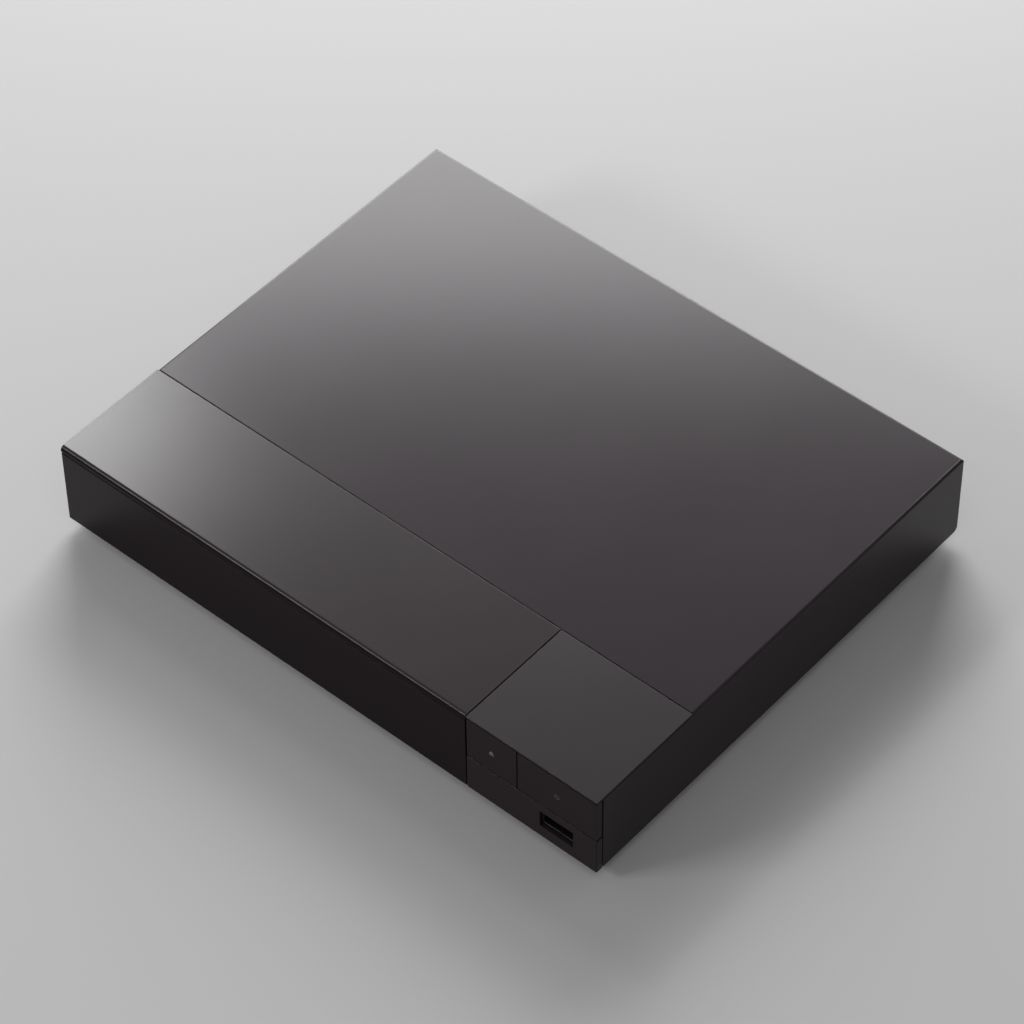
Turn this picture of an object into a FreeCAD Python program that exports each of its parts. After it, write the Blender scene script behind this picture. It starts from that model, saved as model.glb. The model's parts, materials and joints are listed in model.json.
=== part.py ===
import FreeCAD, Part
import functools
import os
import re
import Sketcher

doc = FreeCAD.newDocument("disc_player")

# The origin is on the surface that the feet stand on, under the middle of the
# player, jack included. X runs to the right, Y to the rear and Z up.
# Driving sizes, in millimetres, except for counts and for angles in degrees.
sizes = {
    # case
    "case_width": 230,
    "case_depth": 187.3,
    "case_height": 34.7,
    "foot_height": 4.3,
    "foot_width": 16,
    "foot_length": 9,
    "foot_draft": 0.8,
    "foot_inset": 8,
    "sheet": 0.8,
    "fold_round": 1.0,
    "fit": 0.1,
    "slack": 0.3,
    "gap": 0.5,
    "pan_lip": 9,
    "cover_lip": 5,
    "corner_cut": 2,
    # front
    "deck_depth": 46.5,
    "control_width": 53.5,
    "seam": 0.4,
    "deck_edge": 2.2,
    "deck_round": 1.6,
    "plate_edge": 0.6,
    "plate_rib": 1.5,
    "front_thick": 2.7,
    "side_gap": 0.5,
    "door_gap": 0.6,
    "door_room": 1.2,
    "wall": 1.5,
    "soft_round": 0.4,
    "brow": 1.1,
    # keys
    "key_travel": 0.4,
    "key_low_rise": 15.9,
    "key_gap": 0.4,
    "eject_width": 20.5,
    "stem_half": 1.6,
    "guide_half": 0.6,
    "guide_inset": 2,
    "guide_rise": 8,
    "plunger_half": 1.2,
    "switch_width": 6,
    "switch_depth": 3.4,
    # boards
    "board_lift": 2.5,
    "board_thick": 1.6,
    "board_margin": 1.9,
    "board_gap": 2.75,
    "board_setback": 2.6,
    "board_clear": 2,
    "hole_radius": 1.6,
    "boss_radius": 3,
    "screw_radius": 1.4,
    "head_radius": 2.6,
    "head_height": 1.5,
    # sockets
    "usb_inset": 16.4,
    "usb_rise": 8.4,
    "usb_hole_width": 13.6,
    "usb_hole_height": 7.2,
    "usb_width": 12.5,
    "usb_height": 5.1,
    "usb_depth": 14,
    "usb_skin": 0.35,
    "usb_setback": 1.4,
    "lan_inset": 60.5,
    "lan_width": 16,
    "lan_height": 13.5,
    "lan_depth": 21.3,
    "lan_mouth_width": 11.7,
    "lan_mouth_height": 8.3,
    "lan_mouth_depth": 12.5,
    "hdmi_inset": 41.5,
    "hdmi_width": 13.9,
    "hdmi_height": 4.5,
    "hdmi_room": 0.8,
    "hdmi_depth": 11,
    "coax_inset": 25,
    "coax_rise": 13.4,
    "coax_reach": 6.7,
    "coax_radius": 4.15,
    "coax_bore": 1.6,
    "coax_neck": 0.4,
    "coax_block": 10,
    "dc_inset": 12,
    "dc_rise": 11.5,
    "dc_radius": 2.75,
    "dc_pin": 0.85,
    "dc_block": 9,
    # loader
    "loader_width": 140,
    "loader_depth": 169.6,
    "loader_lift": 1.5,
    "loader_gap": 0.5,
    "loader_wall": 1.8,
    "disc_setback": 68,
    "disc_radius": 60.5,
    "small_disc_radius": 41,
    "under_tray": 14.9,
    "tray_width": 132,
    "tray_depth": 165.3,
    "tray_floor": 1.8,
    "small_step": 1.2,
    "disc_step": 3.5,
    "slot_half": 19,
    "bridge_rise": 2.5,
    "bridge_thick": 1.2,
    "bridge_half": 22,
    "bridge_hole": 12,
    "bridge_offset": 1,
    # gears
    "tooth_size": 1.25,
    "tip_share": 0.9,
    "pressure": 20,
    "backlash": 0.12,
    "rack_length": 146,
    "root_share": 1.25,
    "tooth_sink": 0.3,
    "rack_drop": 4.5,
    "rack_gap": 0.9,
    "drive_teeth": 16,
    "wheel_teeth": 25,
    "pinion_teeth": 12,
    "wheel_room": 0.85,
    "wheel_rise": 2.8,
    "wheel_thick": 4,
    "pulley_rise": 1,
    "pulley_thick": 3,
    "drive_inset": 27.25,
    "post_radius": 1.5,
    "post_shoulder": 3,
    "motor_radius": 12,
    "motor_height": 8.5,
    "motor_offset": 28.25,
    "pulley_radius": 10,
    "motor_pulley_radius": 2.6,
    "belt": 1.2,
    "belt_fit": 0.15,
    # cam
    "cam_travel": 20,
    "cam_drop": 5,
    "cam_thick": 2.5,
    "cam_pin": 1.5,
    "cam_clear": 0.8,
    "pin_drop": 2.8,
    "cam_spread": 14,
    # traverse
    "traverse_half": 40,
    "traverse_front": 17.5,
    "traverse_rise": 6.4,
    "traverse_thick": 5.5,
    "traverse_gap": 0.6,
    "pivot_rise": 7.9,
    "pivot_radius": 2,
    "pivot_margin": 4,
    "window_half": 34,
    "window_margin": 2,
    "shaft_spread": 26,
    "shaft_radius": 1.5,
    "shaft_fit": 0.05,
    "lead_offset": 31.5,
    "lead_rise": 0.5,
    "sled_travel": 35,
    "travel_gap": 1,
    "sled_length": 30,
    "sled_rise": 4.4,
    "sled_clear": 0.6,
    "lens_gap": 10,
    "lens_inset": 8,
    "lens_drop": 2.2,
    "turntable_radius": 13,
    "turntable_thick": 1.5,
    "disc_lift": 2.2,
    "hub_rise": 1,
    "hub_radius": 7.4,
    "spindle_radius": 1,
    "rotor_radius": 11,
    "clamp_radius": 11.5,
    "clamp_reach": 2.5,
    "clamp_thick": 1.2,
    # small sizes
    "vent_width": 2,
    "vent_step": 5,
    "vent_count": 10,
    "vent_side": 14,
    "vent_inset": 46,
    "grille_inset": 15,
    "grille_height": 16,
    "grille_count": 12,
    "lip_screw_inset": 30,
    "well_rim": 5,
    "rack_bar": 2.5,
    "ledge": 4,
    "tab_reach": 2.5,
    "tab_start": 12,
    "tab_length": 8,
    "tab_step": 70,
    "tab_count": 3,
    "bay_end": 12,
    "cam_rib": 1.2,
    "cam_rise": 3.9,
    "cam_guide": 36,
    "cam_keep": 6,
    "cam_end": 3.5,
    "cam_room": 0.4,
    "bracket": 3.1,
    "bracket_half": 5,
    "boss_drop": 5,
    "bridge_line": 12,
    "bridge_flange": 3,
    "bridge_margin": 4,
    "loader_hole_inset": 8,
    "loader_hole_front": 12,
    "loader_hole_rear": 10,
    "board_hole_inset": 4,
    "front_hole_inset": 22,
    "rear_hole_inset": 30,
    "panel_hole_rise": 3.5,
    "cup_wall": 2,
    "frame_wall": 3,
    "seat_depth": 4,
    "lead_radius": 1.5,
    "sled_motor_radius": 3.8,
    "sled_motor_length": 16,
    "bearing_half": 3.5,
    "bearing_drop": 0.9,
    "motor_flange": 1.2,
    "magnet_half": 5,
    "magnet_thick": 2,
    "sled_half": 20,
    "lobe": 3,
    "lobe_inset": 2,
    "comb_half": 1,
    "yoke_near": 6.4,
    "yoke_far": 7.6,
    "yoke_half": 6,
    "yoke_rise": 3,
    "holder_half": 7.5,
    "holder_reach": 5.8,
    "holder_gap": 0.8,
    "lens_radius": 2,
    "lens_rise": 0.9,
    "chip_inset": 28,
    "chip_setback": 93,
    "chip_width": 27,
    "chip_thick": 2,
    "sink_width": 34,
    "sink_floor": 2,
    "sink_rise": 13,
    "fin_thick": 1.2,
    "fin_count": 8,
    "memory_inset": 5,
    "memory_width": 8,
    "memory_length": 13,
    "memory_thick": 1.2,
    "memory_gap": 3,
    "power_setback": 125,
    "power_step": 12,
    "can_inset": 12,
    "can_radius": 3.15,
    "can_height": 11,
    "can_count": 2,
    "coil_count": 3,
    "coil_inset": 28,
    "coil_width": 7,
    "coil_height": 4,
    "lamp_half": 1.2,
    "lamp_drop": 5,
    "lamp_length": 3.2,
    "lamp_inset": 6,
    "receiver_width": 6,
    "receiver_inset": 1.5,
    "front_board_inset": 2.5,
    "ribbon": 0.3,
    "ribbon_width": 14,
    "ribbon_rise": 18,
    "ribbon_setback": 25,
    "ribbon_inset": 6,
    "socket_rise": 6,
    "socket_depth": 2.4,
    "cable_width": 16,
    "cable_margin": 1,
    "cable_setback": 30,
    "cable_rise": 4,
    "cable_ramp": 3,
    "usb_block": 3,
    "tongue_width": 11.1,
    "tongue_thick": 1.8,
    "tongue_drop": 0.6,
    "tongue_setback": 1.2,
    "lan_notch": 1.8,
    "lan_floor": 2,
    "hdmi_skin": 0.5,
    "hdmi_bevel": 1.6,
    "hdmi_tongue": 1,
    "dc_depth": 13,
    "dc_rim": 1,
    "dc_bore_depth": 9,
    "screw_length": 4,
}

# Places worked out from the sizes.
places = {
    "left": "-case_width/2",
    "right": "case_width/2",
    "front": "-(case_depth+coax_reach)/2",
    "rear": "front+case_depth",
    "base": "foot_height",
    "top": "foot_height+case_height",
    "floor": "base+sheet",
    "roof": "top-sheet",
    "split": "right-control_width",
    "deck_rear": "front+deck_depth",
    "front_back": "front+front_thick",
    "side_front": "front_back+side_gap",
    "inner_left": "left+sheet+fit",
    "inner_right": "right-sheet-fit",
    "frame_left": "inner_left+fit*2",
    "frame_right": "inner_right-fit*2",
    "frame_low": "floor+fit",
    "wall_front": "front_back+key_travel+slack",
    "wall_back": "wall_front+wall",
    "panel_back": "rear-sheet-fit",
    "panel_front": "panel_back-sheet",
    "pan_rear": "panel_front-fit",
    "door_top": "top-deck_edge-door_gap",
    "plate_low": "top-plate_edge",
    "deck_low": "top-deck_edge",
    "rib_low": "top-plate_rib",
    "left_seam": "split-seam/2",
    "right_seam": "split+seam/2",
    "deck_end": "deck_rear-seam/2",
    "cover_start": "deck_rear+seam/2",
    "foot_left": "left+foot_inset",
    "foot_right": "right-foot_inset-foot_width",
    "foot_front": "front+foot_inset",
    "foot_rear": "rear-foot_inset-foot_length",
    # keys
    "key_low": "base+key_low_rise",
    "key_top": "top-brow",
    "eject_left": "right_seam+seam/2",
    "eject_right": "eject_left+eject_width",
    "power_left": "eject_right+seam",
    "power_right": "right-seam/2",
    "eject_x": "(eject_left+eject_right)/2",
    "power_x": "(power_left+power_right)/2",
    "key_z": "(key_low+key_top)/2",
    "stem_end": "wall_back+key_travel+fit*2",
    "switch_front": "stem_end+key_travel+fit*2",
    "switch_back": "switch_front+switch_depth",
    # boards
    "board_low": "floor+board_lift",
    "board_top": "board_low+board_thick",
    "board_left": "loader_right+board_gap",
    "board_right": "frame_right-board_margin",
    "board_front": "wall_back+loader_gap",
    "board_rear": "panel_front-board_setback",
    "panel_board_low": "board_top+usb_hole_height+board_clear",
    "panel_board_top": "rib_low-board_clear",
    "panel_board_left": "right_seam+1",
    "panel_board_back": "switch_back+board_thick",
    # sockets
    "usb_x": "right-usb_inset",
    "usb_z": "base+usb_rise",
    "usb_front": "front+usb_setback",
    "lan_x": "right-lan_inset",
    "hdmi_x": "right-hdmi_inset",
    "coax_x": "right-coax_inset",
    "coax_z": "base+coax_rise",
    "dc_x": "right-dc_inset",
    "dc_z": "base+dc_rise",
    # loader
    "center_x": "(left+split)/2",
    "spindle_y": "front+disc_setback",
    "loader_left": "center_x-loader_width/2",
    "loader_right": "center_x+loader_width/2",
    "loader_front": "wall_back+loader_gap",
    "loader_rear": "loader_front+loader_depth",
    "loader_low": "floor+loader_lift",
    "loader_deck": "loader_low+wall",
    "tray_low": "floor+under_tray",
    "small_floor": "tray_low+tray_floor",
    "disc_floor": "small_floor+small_step",
    "tray_top": "disc_floor+disc_step",
    "tray_left": "center_x-tray_width/2",
    "tray_right": "center_x+tray_width/2",
    "tray_front": "front_back",
    "tray_rear": "tray_front+tray_depth",
    "loader_top": "tray_top+bridge_rise",
    "bridge_top": "loader_top+bridge_thick",
    "ledge_top": "tray_low-slack",
    # gears
    "drive_x": "loader_right-drive_inset",
    "drive_y": "loader_front+wall+wheel_radius+tip+wheel_room",
    "drive_radius": "tooth_size*drive_teeth/2",
    "wheel_radius": "tooth_size*wheel_teeth/2",
    "pinion_radius": "tooth_size*pinion_teeth/2",
    "rack_line": "drive_x+drive_radius",
    "rack_pitch": "pi*tooth_size",
    "rack_teeth": "trunc(rack_length/rack_pitch)",
    "rack_start": "rack_first-rack_pitch/2",
    "rack_low": "tray_low-rack_drop",
    "pulley_x": "drive_x-wheel_radius-pinion_radius",
    "motor_x": "center_x-motor_offset",
    "wheel_low": "loader_deck+wheel_rise",
    "wheel_top": "wheel_low+wheel_thick",
    "drive_top": "tray_low-gap",
    "pulley_low": "wheel_top+pulley_rise",
    "pulley_top": "pulley_low+pulley_thick",
    "belt_low": "(pulley_low+pulley_top-belt)/2",
    "motor_low": "floor+gap",
    "motor_top": "motor_low+motor_height",
    # cam
    "cam_front": "pin_face-cam_thick-cam_thick",
    "cam_back": "cam_front+cam_thick",
    "cam_low": "loader_deck+slack",
    "cam_top": "tray_low-cam_clear",
    "pin_face": "spindle_y-traverse_front-slack",
    "pin_z": "cam_top-pin_drop",
    # traverse
    "pivot_y": "window_end+window_margin",
    "pivot_z": "floor+pivot_rise",
    "traverse_low": "floor+traverse_rise",
    "traverse_floor": "traverse_low+wall",
    "traverse_top": "traverse_low+traverse_thick",
    "traverse_start": "spindle_y-traverse_front",
    "traverse_end": "pivot_y+pivot_margin",
    "window_start": "spindle_y+turntable_radius+gap",
    "window_end": "sled_end+sled_travel+travel_gap",
    "shaft_z": "pivot_z",
    "lead_x": "center_x-lead_offset",
    "lead_z": "pivot_z+lead_rise",
    "lens_y": "spindle_y+turntable_radius+lens_gap",
    "sled_start": "lens_y-lens_inset",
    "sled_end": "sled_start+sled_length",
    "sled_low": "floor+sled_rise",
    "sled_top": "tray_low-sled_clear",
    "plate_top": "disc_floor+disc_lift",
    "plate_bottom": "plate_top-turntable_thick",
    "hub_top": "plate_top+hub_rise",
    "clamp_low": "hub_top+slack",
    "clamp_flange": "bridge_top+slack",
    # small places
    "vent_left": "board_left+vent_side",
    "vent_right": "board_right-vent_side",
    "vent_front": "front+vent_inset",
    "grille_left": "left+grille_inset",
    "lip_z": "(top-cover_lip+roof)/2",
    "root_depth": "tooth_size*root_share",
    "tip": "tooth_size*tip_share",
    "rack_first": "drive_y-rack_pitch/2",
    "half_tooth": "rack_pitch/4-backlash/2",
    "bay_start": "cam_back+slack+cam_rib",
    "bridge_left": "loader_left-bridge_margin",
    "bridge_right": "loader_right+bridge_margin",
    "shaft_front": "window_start-seat_depth",
    "shaft_rear": "window_end+seat_depth",
    "lead_rear": "window_end+window_margin",
    "sled_motor_rear": "window_start-seat_depth-gap",
    "sled_motor_front": "sled_motor_rear-sled_motor_length",
    "clamp_top": "clamp_flange+clamp_thick",
    "holder_top": "plate_top-lens_drop",
    "chip_x": "right-chip_inset",
    "chip_y": "front+chip_setback",
    "chip_top": "board_top+chip_thick",
    "power_y": "front+power_setback",
    "lamp_x": "power_right-lamp_inset",
    "lamp_z": "key_z-lamp_drop",
    "receiver_x": "power_left+receiver_inset",
    "panel_board_right": "frame_right-front_board_inset",
    "ribbon_x": "panel_board_left+ribbon_inset",
    "ribbon_y": "front+ribbon_setback",
    "ribbon_top": "socket_top+ribbon_rise",
    "socket_top": "board_top+socket_depth",
    "upper_socket_z": "panel_board_low+socket_rise",
    "cable_y": "pivot_y-cable_setback",
    "lan_mouth_low": "board_top+lan_floor",
    "lan_mouth_high": "lan_mouth_low+lan_mouth_height",
    "hdmi_top": "board_top+hdmi_height+hdmi_skin*2",
}

sheet = doc.addObject("Spreadsheet::Sheet", "Sizes")
for row, (name, number) in enumerate(sizes.items(), start=1):
    sheet.set(f"A{row}", name)
    sheet.set(f"B{row}", str(number))
    sheet.setAlias(f"B{row}", name)
doc.recompute()

pieces = {}


@functools.lru_cache(None)
def formula(text):
    """Write a formula of sizes and places out in the sheet's cells."""

    def cell(match):
        word = match.group(0)
        if word in places:
            return "(" + formula(places[word]) + ")"
        return "Sizes." + word if word in sizes else word

    return re.sub(r"[a-z][a-z_]*", cell, text)


@functools.lru_cache(None)
def value(text):
    """The number that a formula comes to."""
    return float(sheet.evalExpression(formula(text)))


def bind(thing, name, text):
    """Tie one size or place of an object to the sheet."""
    thing.setExpression(name, formula(text))


def both_sides(x, half):
    """Two places at the same distance from a middle one."""
    return f"{x}-({half})", f"{x}+({half})"


def box(x_low, x_high, y_low, y_high):
    """Corners of a rectangle."""
    return [(x_low, y_low), (x_high, y_low), (x_high, y_high), (x_low, y_high)]


def square(x, y, half):
    """Corners of a square by its middle."""
    return box(*both_sides(x, half), *both_sides(y, half))


def hexagon(x, y, radius):
    """Corners of a hexagon by the distance from its middle to a corner."""
    return [(f"{x}+({radius})*cos({turn})", f"{y}+({radius})*sin({turn})") for turn in range(0, 360, 60)]


def tie(drawing, geometry, point, x, y):
    """Hold a point of a sketch at its formulas."""
    for kind, text, axis in (("DistanceX", x, -2), ("DistanceY", y, -1)):
        number = value(text)
        if text == "0":
            drawing.addConstraint(Sketcher.Constraint("PointOnObject", geometry, point, axis))
            continue
        held = Sketcher.Constraint(kind, -1, 1, geometry, point, number)
        bind(drawing, f"Constraints[{drawing.addConstraint(held)}]", text)


def draw_circle(drawing, x, y, radius):
    """Draw a circle that the sheet drives."""
    centre = FreeCAD.Vector(value(x), value(y), 0)
    ring = drawing.addGeometry(Part.Circle(centre, FreeCAD.Vector(0, 0, 1), value(radius)))
    tie(drawing, ring, 3, x, y)
    held = drawing.addConstraint(Sketcher.Constraint("Radius", ring, value(radius)))
    bind(drawing, f"Constraints[{held}]", radius)


def draw_corners(drawing, corners):
    """Draw a closed outline of straight lines that the sheet drives."""
    spots = [FreeCAD.Vector(value(x), value(y), 0) for x, y in corners]
    lines = []
    for start, end in zip(spots, spots[1:] + spots[:1]):
        lines.append(drawing.addGeometry(Part.LineSegment(start, end)))
    for line, after in zip(lines, lines[1:] + lines[:1]):
        drawing.addConstraint(Sketcher.Constraint("Coincident", line, 2, after, 1))
    for line, (x, y) in zip(lines, corners):
        tie(drawing, line, 1, x, y)


class Solid:
    """A sub-part built up from sketches, with low and high places along the sketch's normal."""

    def __init__(self, name):
        self.body = doc.addObject("PartDesign::Body", name)
        self.body.Label = name
        pieces[name] = self.body

    def origin(self, role):
        """One of the body's own planes or axes."""
        return next(f for f in self.body.Origin.OriginFeatures if f.Role == role)

    def sketch(self, plane, depth, outlines, shift=("0", "0"), turned="0"):
        """Draw outlines on a plane at a depth: circles as (x, y, radius), the rest as corners."""
        drawing = self.body.newObject("Sketcher::SketchObject", "outline")
        drawing.AttachmentSupport = (self.origin(plane + "_Plane"), [""])
        drawing.MapMode = "FlatFace"
        bind(drawing, "AttachmentOffset.Base.x", shift[0])
        bind(drawing, "AttachmentOffset.Base.y", shift[1])
        bind(drawing, "AttachmentOffset.Base.z", f"-({depth})" if plane == "XZ" else depth)
        if turned != "0":
            bind(drawing, "AttachmentOffset.Rotation.Angle", turned)
        for outline in outlines:
            if isinstance(outline, tuple):
                draw_circle(drawing, *outline)
            else:
                draw_corners(drawing, outline)
        return drawing

    def feature(self, kind, drawing):
        """Start a feature on a sketch."""
        made = self.body.newObject("PartDesign::" + kind, kind.lower())
        made.Profile = drawing
        return made

    def add(self, plane, low, high, *outlines, **frame):
        """Add material between two places."""
        drawing = self.sketch(plane, high if plane == "XZ" else low, outlines, **frame)
        pad = self.feature("Pad", drawing)
        bind(pad, "Length", f"({high})-({low})")
        return pad

    def cut(self, plane, low, high, *outlines, **frame):
        """Take material away between two places."""
        doc.recompute()
        before = self.body.Shape.Volume
        drawing = self.sketch(plane, low if plane == "XZ" else high, outlines, **frame)
        pocket = self.feature("Pocket", drawing)
        bind(pocket, "Length", f"({high})-({low})")
        doc.recompute()
        if self.body.Shape.Volume > before - 1e-3:
            raise RuntimeError(f"a cut in {self.body.Label} takes nothing away")
        return pocket

    def turn(self, plane, shift, depth, corners):
        """Turn a profile of (radius, height) corners a full turn about an upright line."""
        drawing = self.sketch(plane, depth, [corners], shift=shift)
        made = self.feature("Revolution", drawing)
        made.ReferenceAxis = (drawing, ["V_Axis"])
        made.Angle = 360
        return made

    def row(self, feature, axis, step, count):
        """Repeat a feature along an axis of the body."""
        doc.recompute()
        made = self.body.newObject("PartDesign::LinearPattern", "row")
        made.Originals = [feature]
        made.Direction = (self.origin(axis + "_Axis"), [""])
        bind(made, "Length", f"({step})*({count}-1)")
        bind(made, "Occurrences", count)
        self.body.Tip = made
        doc.recompute()

    def ring(self, feature, drawing, count):
        """Repeat a feature about its sketch's origin."""
        doc.recompute()
        made = self.body.newObject("PartDesign::PolarPattern", "ring")
        made.Originals = [feature]
        made.Axis = (drawing, ["N_Axis"])
        made.Angle = 360
        bind(made, "Occurrences", count)
        self.body.Tip = made
        doc.recompute()

    def soften(self, kind, size, *spots):
        """Round or chamfer the straight edges whose ends lie at the given x, y or z."""
        doc.recompute()
        base = self.body.Tip
        names = []
        for number, edge in enumerate(self.body.Shape.Edges, start=1):
            if any(lies_at(edge, spot) for spot in spots):
                names.append(f"Edge{number}")
        made = self.body.newObject("PartDesign::" + kind, kind.lower())
        made.Base = (base, names)
        bind(made, "Radius" if kind == "Fillet" else "Size", size)
        self.body.Tip = made
        doc.recompute()


def lies_at(edge, spot):
    """Whether both ends of a straight edge lie at a place."""
    if not isinstance(edge.Curve, (Part.Line, Part.LineSegment)):
        return False
    for vertex in edge.Vertexes:
        for axis, text in spot.items():
            if abs(getattr(vertex.Point, axis) - value(text)) > 1e-4:
                return False
    return True


def set_down(thing, x, y, z, axis="Z"):
    """Place a primitive with its own height along an axis."""
    turns = {"X": ((0, 1, 0), 90), "Y": ((1, 0, 0), -90), "Z": ((0, 0, 1), 0), "up": ((1, 0, 0), 90)}
    line, angle = turns[axis]
    turn = FreeCAD.Rotation(FreeCAD.Vector(*line), angle)
    thing.Placement = FreeCAD.Placement(FreeCAD.Vector(), turn)
    for name, text in zip("xyz", (x, y, z)):
        bind(thing, "Placement.Base." + name, text)


def block(x, y, z, width, depth, height):
    """A box from its lowest corner."""
    made = doc.addObject("Part::Box", "block")
    for name, text in (("Length", width), ("Width", depth), ("Height", height)):
        bind(made, name, text)
    set_down(made, x, y, z)
    return made


def square_bar(x, y, z, half, length):
    """A square bar towards the rear from the middle of its front end."""
    return block(f"{x}-({half})", y, f"{z}-({half})", f"({half})*2", length, f"({half})*2")


def rod(axis, x, y, z, radius, length):
    """A cylinder from the middle of its lower end."""
    made = doc.addObject("Part::Cylinder", "rod")
    bind(made, "Radius", radius)
    bind(made, "Height", length)
    set_down(made, x, y, z, axis)
    return made


def prism(axis, x, y, z, radius, length):
    """A six-sided bar from the middle of its lower end."""
    made = doc.addObject("Part::Prism", "bar")
    made.Polygon = 6
    bind(made, "Circumradius", radius)
    bind(made, "Height", length)
    set_down(made, x, y, z, axis)
    return made


def fuse(*things):
    """One solid from several primitives."""
    made = doc.addObject("Part::MultiFuse", "joined")
    made.Shapes = list(things)
    return made


def trim(thing, *tools):
    """A primitive with others cut away from it."""
    for tool in tools:
        made = doc.addObject("Part::Cut", "trimmed")
        made.Base = thing
        made.Tool = tool
        thing = made
    return thing


def name_piece(name, *things):
    """Give a finished sub-part its name: one solid, or a group of separate ones."""
    made = things[0]
    if len(things) > 1:
        made = doc.addObject("Part::Compound", name)
        made.Links = list(things)
    made.Label = name
    pieces[name] = made


def screw(axis, x, y, z, length):
    """A hexagon head screw: its head stands on a surface, its shank runs back along the axis."""
    place = [x, y, z]
    root = list(place)
    number = "XYZ".index(axis)
    root[number] = f"{place[number]}-({length})"
    shank = prism(axis, *root, "screw_radius", length)
    return fuse(shank, prism(axis, *place, "head_radius", "head_height"))


def bottom_chassis():
    """Folded steel pan with low side lips, posts for the boards and the loader, and vents."""
    pan = Solid("bottom_chassis")
    pan.add("XY", "base", "floor", box("inner_left", "inner_right", "side_front", "pan_rear"))
    for low, high in (("inner_left", "inner_left+sheet"), ("inner_right-sheet", "inner_right")):
        pan.add("XY", "floor", "floor+pan_lip", box(low, high, "wall_back+wall", "pan_rear"))
    for spots, top in ((board_holes, "board_low"), (loader_holes, "loader_low")):
        for x, y in spots:
            pan.add("XY", "floor", top, hexagon(x, y, "boss_radius"))
            pan.cut("XY", "floor", top, hexagon(x, y, "hole_radius"))
    vent = box("vent_left", "vent_right", "vent_front", "vent_front+vent_width")
    pan.row(pan.cut("XY", "base", "floor", vent), "Y", "vent_step", "vent_count")


def rear_panel():
    """Flat steel panel with the socket cut-outs, vent slots and the cover's screw holes."""
    panel = Solid("rear_panel")
    face = box("frame_left", "frame_right", "base", "roof-fit")
    panel.add("XZ", "panel_front", "panel_back", face)
    lan = box(*both_sides("lan_x", "lan_width/2+fit"), "board_top-fit", "board_top+lan_height+fit")
    hdmi = box(*both_sides("hdmi_x", "hdmi_width/2+hdmi_room"), "board_top-fit", "hdmi_top+fit")
    coax = ("coax_x", "coax_z", "coax_radius+slack")
    inlet = ("dc_x", "dc_z", "dc_radius+dc_rim")
    for hole in (lan, hdmi, coax, inlet):
        panel.cut("XZ", "panel_front", "panel_back", hole)
    for x in lip_screws:
        panel.cut("XZ", "panel_front", "panel_back", hexagon(x, "lip_z", "hole_radius"))
    slot = box("grille_left", "grille_left+vent_width", "floor+pan_lip", "floor+pan_lip+grille_height")
    panel.row(panel.cut("XZ", "panel_front", "panel_back", slot), "X", "vent_step", "grille_count")


def top_cover():
    """Folded steel cover: the roof behind the deck, two full-length sides and a lip over the rear panel."""
    cover = Solid("top_cover")
    cover.add("XY", "roof", "top", box("left", "right", "cover_start", "rear"))
    side = [
        ("side_front", "base"),
        ("rear", "base"),
        ("rear", "roof"),
        ("cover_start", "roof"),
        ("cover_start", "plate_low-seam"),
        ("side_front", "plate_low-seam"),
    ]
    for low, high in (("left", "left+sheet"), ("right-sheet", "right")):
        cover.add("YZ", low, high, side)
    lip = box("left+sheet", "right-sheet", "top-cover_lip", "roof")
    cover.add("XZ", "rear-sheet", "rear", lip)
    for x in lip_screws:
        cover.cut("XZ", "rear-sheet", "rear", hexagon(x, "lip_z", "hole_radius"))
    folds = [dict(x="left", z="top"), dict(x="right", z="top"), dict(y="rear", z="top")]
    cover.soften("Fillet", "fold_round", *folds)
    cover.soften("Fillet", "corner_cut", dict(y="rear", z="base"))


def front_panel():
    """Moulded frame of the left front: the deck over the tray and the wall that the tray passes through."""
    panel = Solid("front_panel")
    panel.add("XY", "plate_low", "top", box("left", "left_seam", "front", "deck_end"))
    panel.add("XY", "deck_low", "plate_low", box("frame_left", "left_seam", "front", "deck_end"))
    panel.add("XY", "deck_low", "plate_low", box("left", "frame_left", "front", "front_back"))
    wall = box("frame_left", "left_seam", "frame_low", "deck_low")
    panel.add("XZ", "wall_front", "wall_back", wall)
    door_way = box(*both_sides("center_x", "tray_width/2+door_room"), "rack_low-rack_gap", "tray_top+wall")
    panel.cut("XZ", "wall_front", "wall_back", door_way)
    side = box("frame_left", "frame_left+wall", "wall_back", "deck_end")
    panel.add("XY", "floor+pan_lip+slack", "deck_low", side)
    panel.soften("Fillet", "deck_round", dict(y="front", z="top"))


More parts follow.
